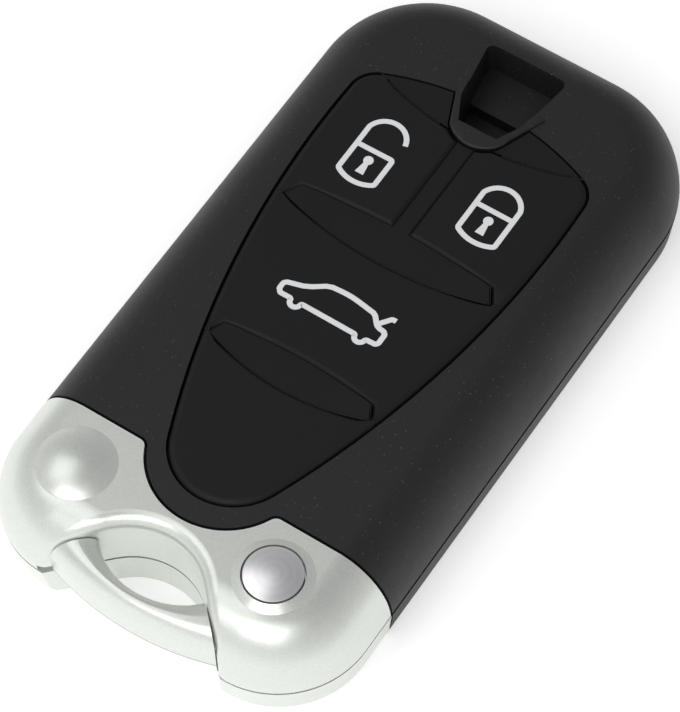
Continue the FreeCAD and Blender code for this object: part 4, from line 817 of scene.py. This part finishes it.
def floor_material(colours):
    """Matt white paper, lifted for camera and reflections so that it reads as white around the shadow."""
    material, tree, at = new_material("white_paper_floor")
    fibre_width, paper_glow = 0.6, 0.42
    fibre = add(tree, "ShaderNodeTexNoise", {"Vector": at, "Scale": per_mm(fibre_width), "Detail": 2.0})
    base = toned(tree, colours.floor, fibre.outputs["Fac"], darkest=0.985, lightest=1.0, span=FULL_SPAN)
    path = add(tree, "ShaderNodeLightPath").outputs
    mirrored = add(tree, "ShaderNodeMath", {0: path["Is Glossy Ray"], 1: path["Is Transmission Ray"]},
                   operation="MAXIMUM")
    seen = add(tree, "ShaderNodeMath", {0: path["Is Camera Ray"], 1: mirrored.outputs["Value"]},
               operation="MAXIMUM")
    lift = add(tree, "ShaderNodeMath", {0: seen.outputs["Value"], 1: paper_glow}, operation="MULTIPLY")
    paper = add(tree, "ShaderNodeBsdfDiffuse", {"Color": base})
    glow = add(tree, "ShaderNodeEmission", {"Color": linear("#ffffff"), "Strength": lift.outputs["Value"]})
    both = add(tree, "ShaderNodeAddShader")
    tree.links.new(paper.outputs["BSDF"], both.inputs[0])
    tree.links.new(glow.outputs["Emission"], both.inputs[1])
    add(tree, "ShaderNodeOutputMaterial", {"Surface": both.outputs["Shader"]})
    return material


class FOB_OT_stage(bpy.types.Operator):
    """Set up the floor, the soft lights and the camera"""
    bl_idname = "fob.stage"
    bl_label = "Stage"

    def execute(self, context):
        settings = context.scene.fob_stage
        studio_world()
        reach, clearance = 15.0, 0.02 * MM
        mesh = bpy.data.meshes.new("floor")
        corners = [(-reach, -reach), (reach, -reach), (reach, reach), (-reach, reach)]
        mesh.from_pydata([(x, y, -clearance) for x, y in corners], [], [(0, 1, 2, 3)])
        mesh.materials.append(floor_material(context.scene.fob_colours))
        floor = bpy.data.objects.new("floor", mesh)
        context.scene.collection.objects.link(floor)
        soft_light("front_softbox", settings.front_light, size=(0.45, 0.30), place=(0.06, -0.36, 0.44))
        soft_light("top_softbox", settings.top_light, size=(0.35, 0.35), place=(-0.25, -0.05, 0.50))
        camera = bpy.data.objects.new("camera", bpy.data.cameras.new("camera"))
        context.scene.collection.objects.link(camera)
        camera.data.lens = settings.lens / MM
        camera.data.sensor_width = 36.0
        camera.data.sensor_fit = "AUTO"
        camera.data.clip_start = 0.01
        camera.data.clip_end = 4 * reach
        right, up = Vector(CAMERA_RIGHT), Vector(CAMERA_UP)
        back = right.cross(up).normalized()
        turn = Matrix((right, up, back)).transposed().to_4x4()
        camera.matrix_world = Matrix.Translation(Vector(CAMERA_PLACE) * MM) @ turn
        context.scene.camera = camera
        context.scene.view_settings.view_transform = "Standard"
        return {"FINISHED"}


class FOB_PT_panel(bpy.types.Panel):
    """Shows the colours, the sizes and the stage settings, and a button for each step"""
    bl_idname = "FOB_PT_panel"
    bl_label = "Key fob shell"
    bl_space_type = "VIEW_3D"
    bl_region_type = "UI"
    bl_category = "Key fob"

    def draw(self, context):
        for group in (context.scene.fob_colours, context.scene.fob_sizes, context.scene.fob_stage):
            column = self.layout.column(align=True)
            for name in group.__annotations__:
                column.prop(group, name)
        for operator in STEPS:
            self.layout.operator(operator.bl_idname)


STEPS = (FOB_OT_case, FOB_OT_pad, FOB_OT_symbols, FOB_OT_silver, FOB_OT_metalwork, FOB_OT_inside,
         FOB_OT_stage)
GROUPS = {"fob_colours": FobColours, "fob_sizes": FobSizes, "fob_stage": FobStage}


def register():
    """Registers every class and hangs the settings on the scene."""
    for kind in (*GROUPS.values(), *STEPS, FOB_PT_panel):
        bpy.utils.register_class(kind)
    for name, kind in GROUPS.items():
        setattr(bpy.types.Scene, name, PointerProperty(type=kind))


def unregister():
    """Takes the settings and the classes away again."""
    for name in GROUPS:
        delattr(bpy.types.Scene, name)
    for kind in reversed((*GROUPS.values(), *STEPS, FOB_PT_panel)):
        bpy.utils.unregister_class(kind)


def main():
    """Runs every step in order."""
    register()
    for step in STEPS:
        group, name = step.bl_idname.split(".")
        getattr(getattr(bpy.ops, group), name)()


if __name__ == "__main__":
    main()
